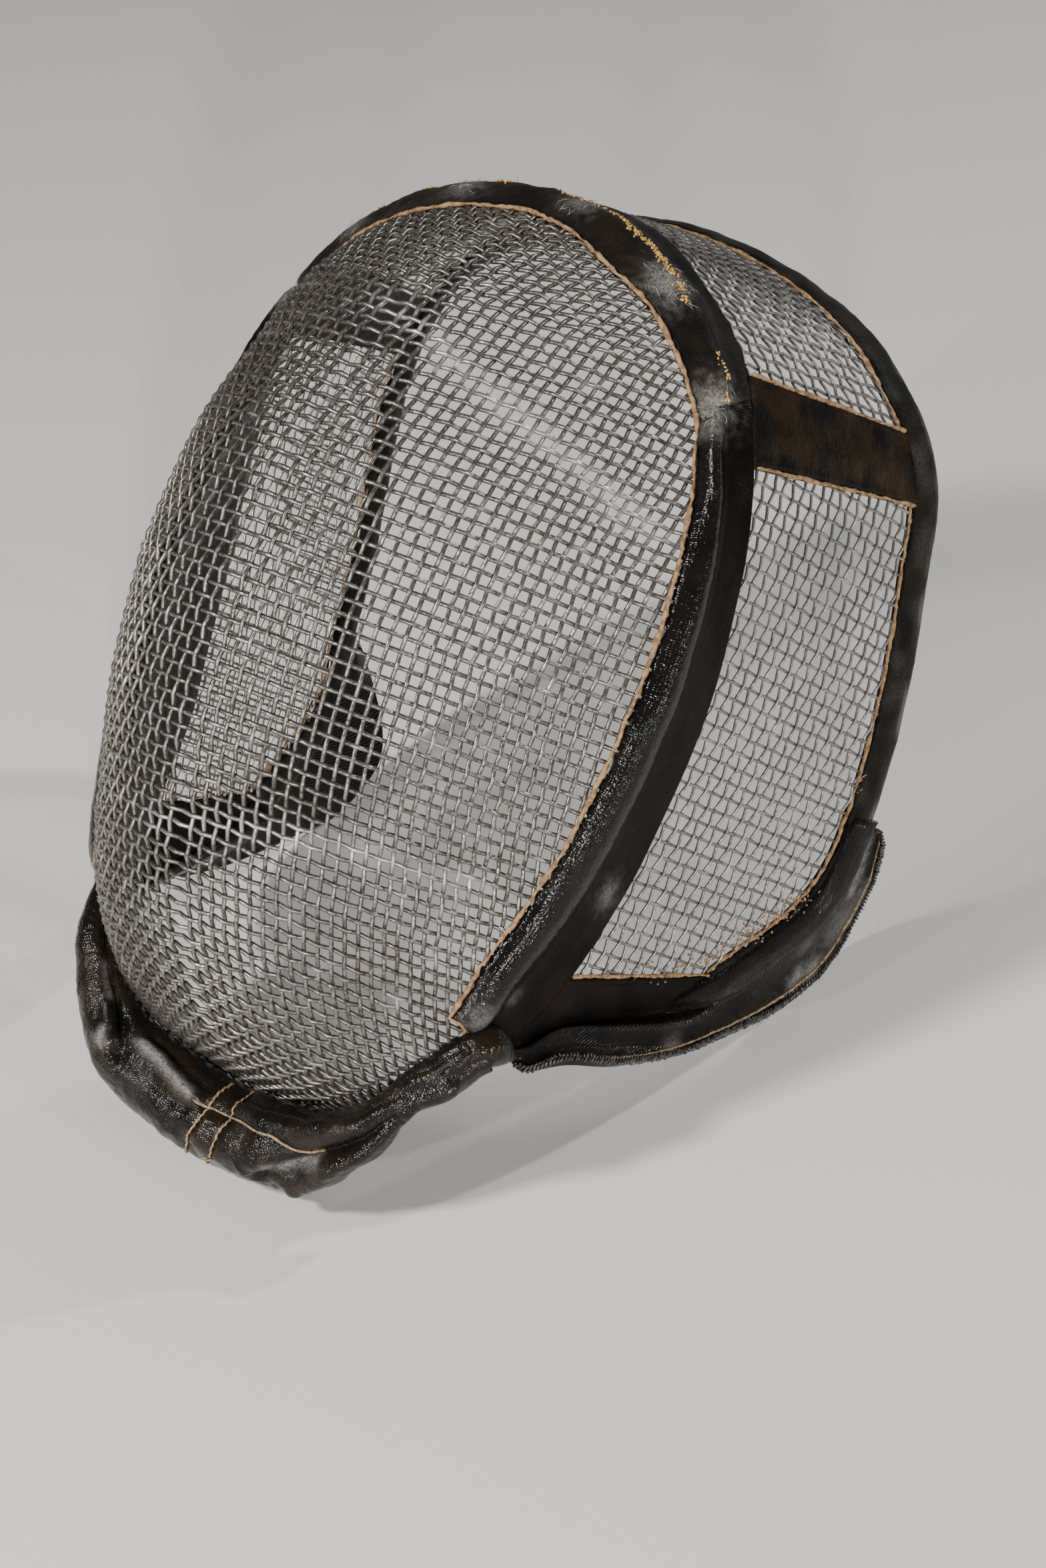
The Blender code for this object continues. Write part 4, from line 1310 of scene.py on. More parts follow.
# rubbed spots on the wing: place along it, share across, radius, strength
wingSpots = (
    {"at": 8.75, "across": 0.08, "radius": 0.0036, "strength": 1.0},
    {"at": 8.50, "across": 0.16, "radius": 0.0042, "strength": 1.0},
    {"at": 8.22, "across": 0.24, "radius": 0.0042, "strength": 1.0},
    {"at": 7.95, "across": 0.32, "radius": 0.0034, "strength": 1.0},
    {"at": 7.40, "across": 0.62, "radius": 0.0100, "strength": 0.55},
    {"at": 8.10, "across": 0.80, "radius": 0.0070, "strength": 0.50},
    {"at": 6.55, "across": 0.74, "radius": 0.0044, "strength": 1.0},
    {"at": 6.30, "across": 0.66, "radius": 0.0040, "strength": 1.0},
    {"at": 6.70, "across": 0.20, "radius": 0.0050, "strength": 0.35},
    {"at": 3.90, "across": 0.78, "radius": 0.0040, "strength": 0.45},
)


def wingPiece():
    rings, uvRings, scuffs = [], [], []
    spots = [(wingFrame(s["at"], s["across"])[0], s["radius"], s["strength"]) for s in wingSpots]
    length, previous = 0.0, None
    shares = steps(-1, 0, 10)[:-1] + steps(0, 1, 36)
    for place in steps(0, wingLast, wingSizes["stations"]):
        middle = wingFrame(place, 0.6)[0]
        length += (middle - previous).length if previous is not None else 0.0
        previous = middle
        over = smooth(place, 3.9, 5.1)
        outer, inner, outerUv, innerUv, marks = [], [], [], [], []
        for share in shares:
            at, normal, full = wingFrame(place, share)
            main = max(0.0, share)
            out = lookUp(wingHeights, "across", main, "outside") * full
            back = lookUp(wingHeights, "across", main, "inside") * full
            flap = 0.0019 + 0.0009 * bell(main - 0.93, 0.05) - 0.0010 * smooth(main, 0.95, 1.0)
            lap = smooth(-share, 0.0, 0.35) * (1 - 0.55 * smooth(-share, 0.7, 1.0))
            flap += 0.0030 * lap + 0.0006 * bell(main, 0.2)
            out = out * (1 - over) + flap * over
            back = back * (1 - over) + 0.0012 * over
            creased = ripple((length * 260, share * 1.6, 0), 1.0, 4.0) * 0.00022 * bell(share - 0.25, 0.25)
            lumps = ripple(at, 110, 6.0) * 0.0005 + ripple(at, 330, 2.0) * 0.00014
            sag = 0.0012 * ripple(at, 48, 3.0) * over * smooth(main, 0.05, 0.4)
            ditch = -0.0005 * bell(share - 0.835, 0.03)
            outer.append(at + normal * (out + (creased + lumps) * min(1.0, full + over) + sag + ditch))
            inner.append(at - normal * (back - sag))
            outerUv.append((length * 100, share * 2.6))
            innerUv.append((length * 100, -share * 2.6 - 6.0))
            found = 0.0
            for spot, radius, strength in spots:
                gap = (at - spot).length
                found = max(found, strength * bell(gap, radius * (1 + 0.5 * ripple(at, 400, 3.0))))
            fuzz = 0.30 * smooth(main, 0.88, 0.97) * max(0.0, ripple(at, 300, 8.0) + 0.3)
            marks.append(max(found, fuzz))
        rings.append(outer + inner[::-1])
        uvRings.append(outerUv + innerUv[::-1])
        scuffs.extend(marks + [0.0] * len(inner))
    return loftedSkin("neck_wing_cloth_left", rings, uvRings, {"scuff_and_sheen": scuffs})


wingLeft = wingPiece()
wingRight = mirroredPiece(wingLeft, "neck_wing_cloth_right")
for piece, node in ((wingLeft, "neck_wing_left"), (wingRight, "neck_wing_right")):
    finishPiece(piece, wingCloth, "oilcloth", node)
print("binding and wings made", len(binding.data.polygons), len(wingLeft.data.polygons))

# ---- chin roll ----

chinSizes = {"middle": 0.0155, "end": 0.0062, "clear": -0.0006, "stations": 210, "sides": 64}
chinTable = (
    {"along": 0.00, "radius": 0.00, "swell": 1.00, "hang": 0.56, "forward": -0.72},
    {"along": 0.10, "radius": 0.04, "swell": 1.00, "hang": 0.30, "forward": -0.45},
    {"along": 0.22, "radius": 0.13, "swell": 1.00, "hang": 0.14, "forward": -0.32},
    {"along": 0.42, "radius": 0.31, "swell": 0.97, "hang": 0.10, "forward": -0.12},
    {"along": 0.58, "radius": 0.52, "swell": 0.97, "hang": 0.08, "forward": 0.06},
    {"along": 0.72, "radius": 0.76, "swell": 1.03, "hang": 0.04, "forward": 0.22},
    {"along": 0.86, "radius": 0.94, "swell": 1.02, "hang": 0.00, "forward": 0.36},
    {"along": 1.00, "radius": 1.00, "swell": 0.97, "hang": 0.00, "forward": 0.42},
)

# ridges and valleys of the twisted cloth: path of place and angle, height and width
chinFolds = (
    {"name": "lobe", "path": ((-0.03, 296), (0.08, 302), (0.17, 325)), "height": 0.0022, "width": 0.0070, "sharp": 0},
    {"name": "main tuck", "path": ((0.12, 330), (0.18, 306), (0.28, 298), (0.40, 304), (0.55, 324)), "height": -0.0066, "width": 0.0025, "sharp": 1},
    {"name": "upper ridge", "path": ((0.05, 236), (0.20, 238), (0.33, 243), (0.47, 270), (0.57, 312)), "height": 0.0022, "width": 0.0046, "sharp": 0},
    {"name": "seam tuck", "path": ((-0.07, 253), (0.03, 250), (0.17, 260), (0.24, 277), (0.298, 296)), "height": -0.0013, "width": 0.0016, "sharp": 1},
    {"name": "upper valley", "path": ((0.06, 213), (0.25, 214), (0.42, 232), (0.55, 262), (0.68, 292)), "height": -0.0026, "width": 0.0026, "sharp": 1},
    {"name": "lower ridge", "path": ((0.17, 350), (0.24, 338), (0.32, 330), (0.42, 328), (0.58, 343), (0.80, 335)), "height": 0.0032, "width": 0.0034, "sharp": 0},
    {"name": "arm valley", "path": ((0.50, 292), (0.66, 306), (0.82, 312), (1.00, 318)), "height": -0.0018, "width": 0.0020, "sharp": 1},
    {"name": "arm crease", "path": ((0.62, 240), (0.76, 256), (0.95, 266)), "height": -0.0010, "width": 0.0016, "sharp": 1},
    {"name": "far tuck", "path": ((-0.70, 200), (-0.50, 204), (-0.43, 208), (-0.36, 222), (-0.315, 243), (-0.30, 268)), "height": -0.0044, "width": 0.0022, "sharp": 1},
    {"name": "far lip", "path": ((-0.60, 222), (-0.46, 226), (-0.38, 244), (-0.345, 272)), "height": 0.0018, "width": 0.0034, "sharp": 0},
    {"name": "far ridge", "path": ((-0.29, 224), (-0.22, 231), (-0.14, 240), (-0.07, 250)), "height": 0.0026, "width": 0.0026, "sharp": 0},
    {"name": "far valley", "path": ((-0.29, 200), (-0.17, 214), (-0.06, 228)), "height": -0.0024, "width": 0.0022, "sharp": 1},
    {"name": "under ridge", "path": ((-0.27, 262), (-0.18, 264), (-0.08, 268)), "height": -0.0014, "width": 0.0022, "sharp": 1},
    {"name": "first stitch", "path": ((-0.025, 205), (-0.031, 235), (-0.040, 285), (-0.081, 352)), "height": -0.0009, "width": 0.0013, "sharp": 1},
    {"name": "second stitch", "path": ((0.022, 200), (0.033, 240), (0.016, 290), (-0.019, 350)), "height": -0.0009, "width": 0.0013, "sharp": 1},
)
# small wrinkles that fan out where the lobe is tucked in
for turn in range(7):
    wrinkleStart = (0.225 - 0.006 * turn, 318 + 3 * turn)
    wrinkleEnd = (0.235 - 0.034 * turn, 352 + 2 * turn)
    chinFolds += ({"name": "wrinkle", "path": (wrinkleStart, wrinkleEnd), "height": -0.0006, "width": 0.0009, "sharp": 1},)
chinReach = 1.03


def chinSpine(place):
    within = min(1.0, abs(place))
    share = 1 - within
    row = rowsOf["chin"] - (rowsOf["chin"] - rowsOf["jaw"]) * within
    grown = lookUp(chinTable, "along", share, "radius")
    radius = chinSizes["end"] + (chinSizes["middle"] - chinSizes["end"]) * grown
    radius *= lookUp(chinTable, "along", share, "swell")
    if place > 0:
        radius *= 1 - 0.18 * smooth(place, 0.08, 0.35) - 0.16 * smooth(place, 0.36, 0.56)
        radius *= 1 + 0.62 * smooth(place, 0.58, 0.88)
    else:
        radius *= 1 - 0.14 * smooth(-place, 0.25, 0.6) - 0.22 * smooth(-place, 0.75, 1.0)
    x, z = openingXz(row)
    ax, az = openingXz(max(rowsOf["jaw"], row - 0.05))
    bx, bz = openingXz(min(rowsOf["chin"], row + 0.05))
    tangent = Vector((bx - ax, 0, bz - az)).normalized()
    down = Vector((-tangent.z, 0, tangent.x))
    if down.z > 0:
        down.negate()
    forward = chinSizes["middle"] * lookUp(chinTable, "along", share, "forward")
    hang = chinSizes["middle"] * lookUp(chinTable, "along", share, "hang")
    radius *= 1 - 0.12 * bell(place + 0.05, 0.40)
    hang += 0.0022 * bell(place + 0.05, 0.40)
    hang += 0.0014 * smooth(place, 0.30, 0.60) - (0.0024 if place > 0 else 0.0042) * smooth(abs(place), 0.78, 0.98)
    clear = radius + chinSizes["clear"]
    drop = hang + math.sqrt(max(clear**2 - forward**2, (0.5 * clear) ** 2))
    middle = Vector((x, sectionBack(x) + profileBack(z) - forward, z)) + down * drop
    if abs(place) > 1:
        beyond = (wallPoint(rowsOf["jaw"], 0.42) - wallPoint(rowsOf["jaw"], 0)) / (chinReach - 1)
        middle += beyond * (abs(place) - 1)
        radius *= 1 - 0.55 * smooth(abs(place), 1.0, chinReach)
    middle.x *= 1 if place > 0 else -1
    return middle, radius


def chinFrame(place):
    middle, radius = chinSpine(place)
    ahead, _ = chinSpine(min(chinReach, place + 0.03))
    behind, _ = chinSpine(max(-chinReach, place - 0.03))
    along = (ahead - behind).normalized()
    lean = Vector((0, 1, 0)).cross(along).normalized()
    second = along.cross(lean).normalized()
    return middle, radius, along, lean, second


chinMarks = [chinSpine(chinReach * p / 110)[0] for p in range(-110, 111)]
chinLengths = [0.0]
for here, there in zip(chinMarks, chinMarks[1:]):
    chinLengths.append(chinLengths[-1] + (there - here).length)


def chinLength(place):
    at = (place / chinReach + 1) * 110
    low = max(0, min(219, int(at)))
    return chinLengths[low] + (chinLengths[low + 1] - chinLengths[low]) * (at - low)


def foldHeight(place, angle, radius):
    # height of all folds at a place on the roll in metres, and how near the deepest valley is
    total, valley = 0.0, 0.0
    here = chinLength(place)
    for fold, path in foldPaths:
        best = 1.0
        for n, (a, b) in enumerate(zip(path, path[1:])):
            ax, ay, bx, by = a[0], a[1] * radius, b[0], b[1] * radius
            px, py = here, angle * radius
            dx, dy = bx - ax, by - ay
            along = ((px - ax) * dx + (py - ay) * dy) / (dx * dx + dy * dy)
            share = max(0.0, min(1.0, along))
            gap = math.hypot(px - ax - dx * share, py - ay - dy * share)
            if (n == 0 and along < 0) or (n == len(path) - 2 and along > 1):
                gap *= 1.5
            best = min(best, gap)
        if best < fold["width"] * 4:
            if fold["sharp"]:
                near = math.exp(-best / fold["width"])
                valley = max(valley, near * min(1.0, -fold["height"] / 0.002))
            else:
                near = bell(best, fold["width"])
            total += fold["height"] * near
    return total, valley


foldPaths = [
    (fold, [(chinLength(at), math.radians(turn)) for at, turn in fold["path"]]) for fold in chinFolds
]


def swell(made, pins, cap, looseness):
    # lets a coarse closed skin fill out under pressure between its pinned seams
    scene = bpy.context.scene
    before = [v.co.copy() for v in made.data.vertices]
    held = made.vertex_groups.new(name="held")
    for i, weight in enumerate(pins):
        held.add([i], weight, "REPLACE")
    cloth = made.modifiers.new("cloth", "CLOTH")
    settings = cloth.settings
    settings.quality = 5
    settings.mass = 0.2
    settings.tension_stiffness = settings.compression_stiffness = 14
    settings.shear_stiffness = 6
    settings.bending_stiffness = 0.25
    settings.use_pressure = True
    settings.uniform_pressure_force = 4.0
    settings.shrink_min = -looseness
    settings.vertex_group_mass = "held"
    settings.pin_stiffness = 1.0
    settings.effector_weights.gravity = 0
    cloth.collision_settings.use_collision = False
    for moment in range(1, 21):
        scene.frame_set(moment)
    graph = bpy.context.evaluated_depsgraph_get()
    mesh = bpy.data.meshes.new_from_object(made.evaluated_get(graph))
    made.modifiers.clear()
    scene.frame_set(1)
    for vertex, start in zip(made.data.vertices, before):
        move = mesh.vertices[vertex.index].co - start
        if move.length > cap:
            move *= cap / move.length
        vertex.co = start + move
    bpy.data.meshes.remove(mesh)
    made.vertex_groups.clear()
    return made


def smoothed(made, levels=1):
    modifier = made.modifiers.new("smooth", "SUBSURF")
    modifier.levels = modifier.render_levels = levels
    return baked(made)


# milky marks on the chin roll, painted highlights along the fold lips with some rubbed wear: paths of place and angle,
# half width and strength
chinSheenSpots = (
    {"path": ((-0.29, 226), (-0.22, 232), (-0.14, 241), (-0.09, 249)), "width": 0.0019, "strength": 0.9},
    {"path": ((-0.36, 262), (-0.34, 273)), "width": 0.0016, "strength": 0.8},
    {"path": ((-0.56, 214), (-0.46, 222)), "width": 0.0013, "strength": 0.6},
    {"path": ((0.15, 309), (0.22, 304), (0.28, 308)), "width": 0.0017, "strength": 0.9},
)
chinSheenPaths = [
    (spot, [(chinLength(at), math.radians(turn)) for at, turn in spot["path"]]) for spot in chinSheenSpots
]


def chinScuffAndSheen(place, angle, radius, point):
    # random rubbed wear, then painted highlights along the fold lips from the spot table
    worn = max(0.0, ripple(point, 70, 12.0) - 0.35) * 0.2
    for spot, path in chinSheenPaths:
        for (ax, ay), (bx, by) in zip(path, path[1:]):
            dx, dy = bx - ax, (by - ay) * radius
            px, py = chinLength(place) - ax, (angle - ay) * radius
            share = max(0.0, min(1.0, (px * dx + py * dy) / (dx * dx + dy * dy)))
            gap = math.hypot(px - dx * share, py - dy * share)
            worn = max(worn, spot["strength"] * bell(gap, spot["width"]))
    return worn


def chinPiece():
    rings, uvRings, scuffs, pins = [], [], [], []
    count = chinSizes["sides"]
    for place in steps(-chinReach, chinReach, chinSizes["stations"]):
        middle, radius, along, lean, second = chinFrame(place)
        end = chinReach - abs(place)
        capped = math.sqrt(max(0.10, 1 - (1 - min(1.0, end / 0.03)) ** 2))
        ring, uvs = [], []
        for k in range(count):
            angle = 2 * math.pi * k / count
            direction = lean * math.cos(angle) + second * math.sin(angle)
            point = middle + direction * radius
            fold, valley = foldHeight(place, angle, radius)
            size = min(1.0, radius / 0.011)
            lump = ripple(point, 75, 2.0) * 0.0009 + ripple(point, 190, 4.0) * 0.00035
            ring.append(middle + direction * (radius * capped + fold * size + lump * size))
            uvs.append((chinLength(place) * 100, angle * radius * 100))
            # the chin marks are rubbed wear plus painted highlights
            scuffs.append(chinScuffAndSheen(place, angle, radius, point))
            pins.append(max(0.34, min(1.0, valley * 1.5), smooth(abs(place), 0.9, 1.0)))
        rings.append(ring)
        uvRings.append(uvs)
    made = loftedSkin("chin_roll_cloth", rings, uvRings, {"scuff_and_sheen": scuffs})
    return shadeSmooth(smoothed(swell(made, pins, 0.0022, 0.02)))


chin = chinPiece()
finishPiece(chin, chinPatent, "oilcloth", "chin_roll")
print("chin roll made", len(chin.data.polygons))

# ---- raw tan edges ----


def edgeTree():
    tree, given, result = newGroup(
        "raw_edge",
        (
            ("Geometry", "NodeSocketGeometry", None),
            ("Radius", "NodeSocketFloat", 0.0005),
            ("Material", "NodeSocketMaterial", None),
        ),
        (("Geometry", "NodeSocketGeometry"),),
        "GeometryNodeTree",
    )
    thick = newNode(tree, "GeometryNodeInputNamedAttribute", {"Name": "thick"}, data_type="FLOAT")
    curves = newNode(tree, "GeometryNodeMeshToCurve", {"Mesh": given.outputs["Geometry"]})
    scaled = newNode(
        tree, "ShaderNodeMath", {0: thick.outputs["Attribute"], 1: given.outputs["Radius"]}, operation="MULTIPLY"
    )
    sized = newNode(
        tree, "GeometryNodeSetCurveRadius", {"Curve": curves.outputs[0], "Radius": scaled.outputs[0]}
    )
    circle = newNode(tree, "GeometryNodeCurvePrimitiveCircle", {"Resolution": 7, "Radius": 1.0})
    tube = newNode(
        tree,
        "GeometryNodeCurveToMesh",
        {"Curve": sized.outputs[0], "Profile Curve": circle.outputs[0], "Fill Caps": True},
    )
    if "Scale" in tube.inputs:
        radii = newNode(tree, "GeometryNodeInputRadius")
        tree.links.new(radii.outputs[0], tube.inputs["Scale"])
    soft = newNode(tree, "GeometryNodeSetShadeSmooth", {"Geometry": tube.outputs[0]})
    whole = newNode(tree, "GeometryNodeRealizeInstances", {"Geometry": soft.outputs[0]})
    dressed = newNode(
        tree,
        "GeometryNodeSetMaterial",
        {"Geometry": whole.outputs[0], "Material": given.outputs["Material"]},
    )
    tree.links.new(dressed.outputs[0], result.inputs[0])
    return tree


edgeNodes = edgeTree()


def edgeLine(name, paths, radius, material, unevenness=0.45):
    # an uneven raw edge or thread along each path
    points, edges, facts = [], [], {"thick": []}
    for path in paths:
        base = len(points)
        for n, point in enumerate(path):
            drift = Vector((ripple(point, 330, 1.0), ripple(point, 330, 4.0), ripple(point, 330, 7.0)))
            points.append(point + drift * radius * unevenness)
            swell = 1 + unevenness * (ripple(point, 500, 3.0) + ripple(point, 130, 5.0))
            ends = min(n, len(path) - 1 - n)
            facts["thick"].append(max(0.25, swell) * (0.5 if ends == 0 else 1.0))
        edges.extend((base + i, base + i + 1) for i in range(len(path) - 1))
    made = makeMesh(name, points, (), edges, facts=facts)
    return withNodes(made, edgeNodes, {"Radius": radius, "Material": material})


def openingPath(first, last, count, outward, across=0.012):
    path = []
    for row in steps(first, last, count):
        point, normal = wallFrame(row, across)
        path.append(point + normal * outward)
    return path


def flipped(path):
    return [Vector((-p.x, p.y, p.z)) for p in path]


def rimPath(first, last, count, inward, lift):
    # line on the face wires beside the rim of the opening
    path = []
    for row in steps(first, last, count):
        x, z = openingXz(row)
        awayX, awayZ = rimAway(abs(row))
        x -= math.copysign(awayX, row) * inward
        z -= awayZ * inward
        path.append(Vector((x, sectionBack(x) + profileBack(z), z)) + faceNormal(x, z) * lift)
    return path


openingEdgeLine = rimPath(-rowsOf["temple"], rowsOf["temple"], 330, 0.0004, 0.0012)
cheekEdge = rimPath(rowsOf["temple"], rowsOf["jaw"] - 0.02, 330, 0.0004, 0.0012)
cheekEdge += [
    wallFrame(rowsOf["jaw"] - 0.03, share)[0] + wallFrame(rowsOf["jaw"] - 0.03, share)[1] * 0.0030
    for share in steps(0.03, 0.30, 16)
]
frontEdges = edgeLine("front_raw_edges", [openingEdgeLine, cheekEdge, flipped(cheekEdge)], 0.00070, tanEdge, 0.6)
finishPiece(frontEdges, None, "strap")
chinRim = rimPath(rowsOf["jaw"] - 0.02, rowsOf["chin"], 160, -0.0030, 0.0004)
chinEdge = edgeLine("chin_raw_edge", [chinRim, flipped(chinRim)], 0.00060, dustyEdge, 0.7)
finishPiece(chinEdge, None, "strap")


def rearPath(first, last, count):
    path = []
    for row in steps(first, last, count):
        point, away, normal = rearEdge(row)
        path.append(point - away * 0.0011 + normal * 0.0007)
    return path


def wallPath(row, first, last, count, outward):
    path = []
    for across in steps(first, last, count):
        point, normal = wallFrame(row, across)
        path.append(point + normal * outward)
    return path


rearEdgePath = rearPath(-rowsOf["earBottom"], rowsOf["earBottom"], 620)
earBottomPath = wallPath(rowsOf["earBottom"] - 0.01, 1.0, 2.0, 110, 0.0012)
strapTopPath = wallPath(rowsOf["strapTop"] + 0.02, 1.0, 2.0, 90, 0.0019)
strapLowPath = wallPath(rowsOf["strapBottom"] - 0.02, 1.0, 2.0, 90, 0.0019)
rearEdges = edgeLine(
    "rear_raw_edges",
    [rearEdgePath, earBottomPath, flipped(earBottomPath), strapTopPath, flipped(strapTopPath), strapLowPath, flipped(strapLowPath)],
    0.00062,
    tanEdge,
    0.65,
)
finishPiece(rearEdges, None, "strap")
print("raw edges made", len(frontEdges.data.polygons), len(rearEdges.data.polygons))

# ---- stitches ----


def stitchTree():
    tree, given, result = newGroup(
        "stitches",
        (
            ("Geometry", "NodeSocketGeometry", None),
            ("Pitch", "NodeSocketFloat", 0.002),
            ("Length", "NodeSocketFloat", 0.0017),
            ("Arch", "NodeSocketFloat", 0.0004),
            ("Radius", "NodeSocketFloat", 0.0003),
            ("Turn", "NodeSocketFloat", 0.0),
            ("Seed", "NodeSocketInt", 3),
            ("Material", "NodeSocketMaterial", None),
        ),
        (("Geometry", "NodeSocketGeometry"),),
        "GeometryNodeTree",
    )
    halfLength = mathOf(tree, "MULTIPLY", given.outputs["Length"], 0.5)
    backLength = mathOf(tree, "MULTIPLY", given.outputs["Length"], -0.5)
    doubleArch = mathOf(tree, "MULTIPLY", given.outputs["Arch"], 2.0)
    start = newNode(tree, "ShaderNodeCombineXYZ", {"X": backLength})
    top = newNode(tree, "ShaderNodeCombineXYZ", {"Z": doubleArch})
    end = newNode(tree, "ShaderNodeCombineXYZ", {"X": halfLength})
    arc = newNode(
        tree,
        "GeometryNodeCurveQuadraticBezier",
        {"Resolution": 5, "Start": start.outputs[0], "Middle": top.outputs[0], "End": end.outputs[0]},
    )
    circle = newNode(
        tree, "GeometryNodeCurvePrimitiveCircle", {"Resolution": 5, "Radius": given.outputs["Radius"]}
    )
    thread = newNode(
        tree,
        "GeometryNodeCurveToMesh",
        {"Curve": arc.outputs[0], "Profile Curve": circle.outputs[0], "Fill Caps": True},
    )
    curves = newNode(tree, "GeometryNodeMeshToCurve", {"Mesh": given.outputs["Geometry"]})
    spread = newNode(
        tree,
        "GeometryNodeResampleCurve",
        {"Curve": curves.outputs[0], "Length": given.outputs["Pitch"]},
        mode="LENGTH",
    )
    outward = newNode(
        tree, "GeometryNodeInputNamedAttribute", {"Name": "outward"}, data_type="FLOAT_VECTOR"
    )
    tangent = newNode(tree, "GeometryNodeInputTangent")
    upright = newNode(
        tree, "FunctionNodeAlignRotationToVector", {"Vector": outward.outputs["Attribute"]}, axis="Z"
    )
    along = newNode(
        tree,
        "FunctionNodeAlignRotationToVector",
        {"Rotation": upright.outputs[0], "Vector": tangent.outputs[0]},
        axis="X",
        pivot_axis="Z",
    )
    wobble = newNode(
        tree,
        "FunctionNodeRandomValue",
        {2: -0.12, 3: 0.12, "Seed": given.outputs["Seed"]},
        data_type="FLOAT",
    )
    turned = mathOf(tree, "ADD", given.outputs["Turn"], wobble.outputs[1])
    local = newNode(tree, "ShaderNodeCombineXYZ", {"Z": turned})
    localRotation = newNode(tree, "FunctionNodeEulerToRotation", {"Euler": local.outputs[0]})
    rotated = newNode(
        tree,
        "FunctionNodeRotateRotation",
        {"Rotation": along.outputs[0], "Rotate By": localRotation.outputs[0]},
        rotation_space="LOCAL",
    )
    size = newNode(
        tree,
        "FunctionNodeRandomValue",
        {2: 0.82, 3: 1.12, "Seed": given.outputs["Seed"]},
        data_type="FLOAT",
    )
    placed = newNode(
        tree,
        "GeometryNodeInstanceOnPoints",
        {
            "Points": spread.outputs[0],
            "Instance": thread.outputs[0],
            "Rotation": rotated.outputs[0],
            "Scale": size.outputs[1],
        },
    )
    whole = newNode(tree, "GeometryNodeRealizeInstances", {"Geometry": placed.outputs[0]})
    soft = newNode(tree, "GeometryNodeSetShadeSmooth", {"Geometry": whole.outputs[0]})
    dressed = newNode(
        tree,
        "GeometryNodeSetMaterial",
        {"Geometry": soft.outputs[0], "Material": given.outputs["Material"]},
    )
    tree.links.new(dressed.outputs[0], result.inputs[0])
    return tree


stitchNodes = stitchTree()


def stitchesOn(name, paths, values):
    # paths hold (point, outward) pairs in the mask's frame
    points, edges, facts = [], [], {"outward": []}
    spin = toWorld.to_3x3()
    for path in paths:
        base = len(points)
        for point, outward in path:
            points.append(point)
            facts["outward"].append(spin @ outward)
        edges.extend((base + i, base + i + 1) for i in range(len(path) - 1))
    made = makeMesh(name, points, (), edges, facts=facts)
    return withNodes(made, stitchNodes, values)


toMask = toWorld.inverted()


def surfaceOf(made):
    graph = bpy.context.evaluated_depsgraph_get()
    return BVHTree.FromObject(made, graph)


chinSkin = surfaceOf(chin)


def onChin(place, angle, lift):
    middle, radius, along, lean, second = chinFrame(place)
    turn = math.radians(angle)
    direction = lean * math.cos(turn) + second * math.sin(turn)
    start = toWorld @ (middle + direction * radius * 3)
    hit, normal, _, _ = chinSkin.ray_cast(start, -(toWorld.to_3x3() @ direction))
    if hit is None:
        return middle + direction * (radius + lift), direction
    normal = toMask.to_3x3() @ normal
    if normal.dot(direction) < 0:
        normal.negate()
    return toMask @ hit + normal * lift, normal


def chinPath(marks, count, lift):
    path = []
    for place in steps(0, len(marks) - 1, count):
        values = throughValues([Vector((a, b, 0)) for a, b in marks], place)
        path.append(onChin(values.x, values.y, lift))
    return path


chinStitchValues = {"Pitch": 0.0024, "Length": 0.0024, "Arch": 0.00045, "Radius": 0.00040, "Material": tanThread}
firstStitch = chinPath(((-0.025, 205), (-0.031, 235), (-0.040, 285), (-0.081, 352)), 60, 0.0001)
secondStitch = chinPath(((0.022, 200), (0.033, 240), (0.016, 290), (-0.019, 350)), 60, 0.0001)
chinStitches = stitchesOn("chin_stitches", [firstStitch, secondStitch], chinStitchValues)
finishPiece(chinStitches, None, "strap")
seamPath = [p for p, _ in chinPath(((-0.069, 253), (0.031, 250), (0.169, 260), (0.24, 277), (0.298, 296)), 90, 0.0002)]
chinSeam = edgeLine("chin_seam_thread", [seamPath], 0.00042, tanThread)
finishPiece(chinSeam, None, "strap")


wingSkin = surfaceOf(wingLeft)


def onWing(place, share, lift):
    at, normal, full = wingFrame(place, share)
    origin = toWorld @ (at + normal * 0.02)
    hit, found, _, _ = wingSkin.ray_cast(origin, -(toWorld.to_3x3() @ normal))
    if hit is None:
        return at + normal * 0.003, normal
    found = toMask.to_3x3() @ found
    if found.dot(normal) < 0:
        found.negate()
    return toMask @ hit + found * lift, found


def wingPath(share, count, lift, first=0.15, last=9.9):
    return [onWing(place, share, lift) for place in steps(first, last, count)]


def flippedPairs(path):
    return [(Vector((-p.x, p.y, p.z)), Vector((-n.x, n.y, n.z))) for p, n in path]


weltPath = wingPath(0.935, 260, 0.0)
weltStitches = stitchesOn(
    "wing_welt_stitches",
    [weltPath, flippedPairs(weltPath)],
    {"Pitch": 0.00135, "Length": 0.0026, "Arch": 0.00045, "Radius": 0.00046, "Turn": 1.05, "Material": blackThread},
)
finishPiece(weltStitches, None, "oilcloth")
weltThread = [p for p, _ in wingPath(0.845, 320, 0.0001)]
hemThread = [p for p, _ in wingPath(0.985, 320, 0.0, 4.5, 9.9)]
wingThreads = edgeLine(
    "wing_threads", [weltThread, flipped(weltThread), hemThread, flipped(hemThread)], 0.00042, tanThread
)
finishPiece(wingThreads, None, "strap")
print("stitches made", len(chinStitches.data.polygons), len(weltStitches.data.polygons), len(wingThreads.data.polygons))

# ---- glue crumbs and lint ----

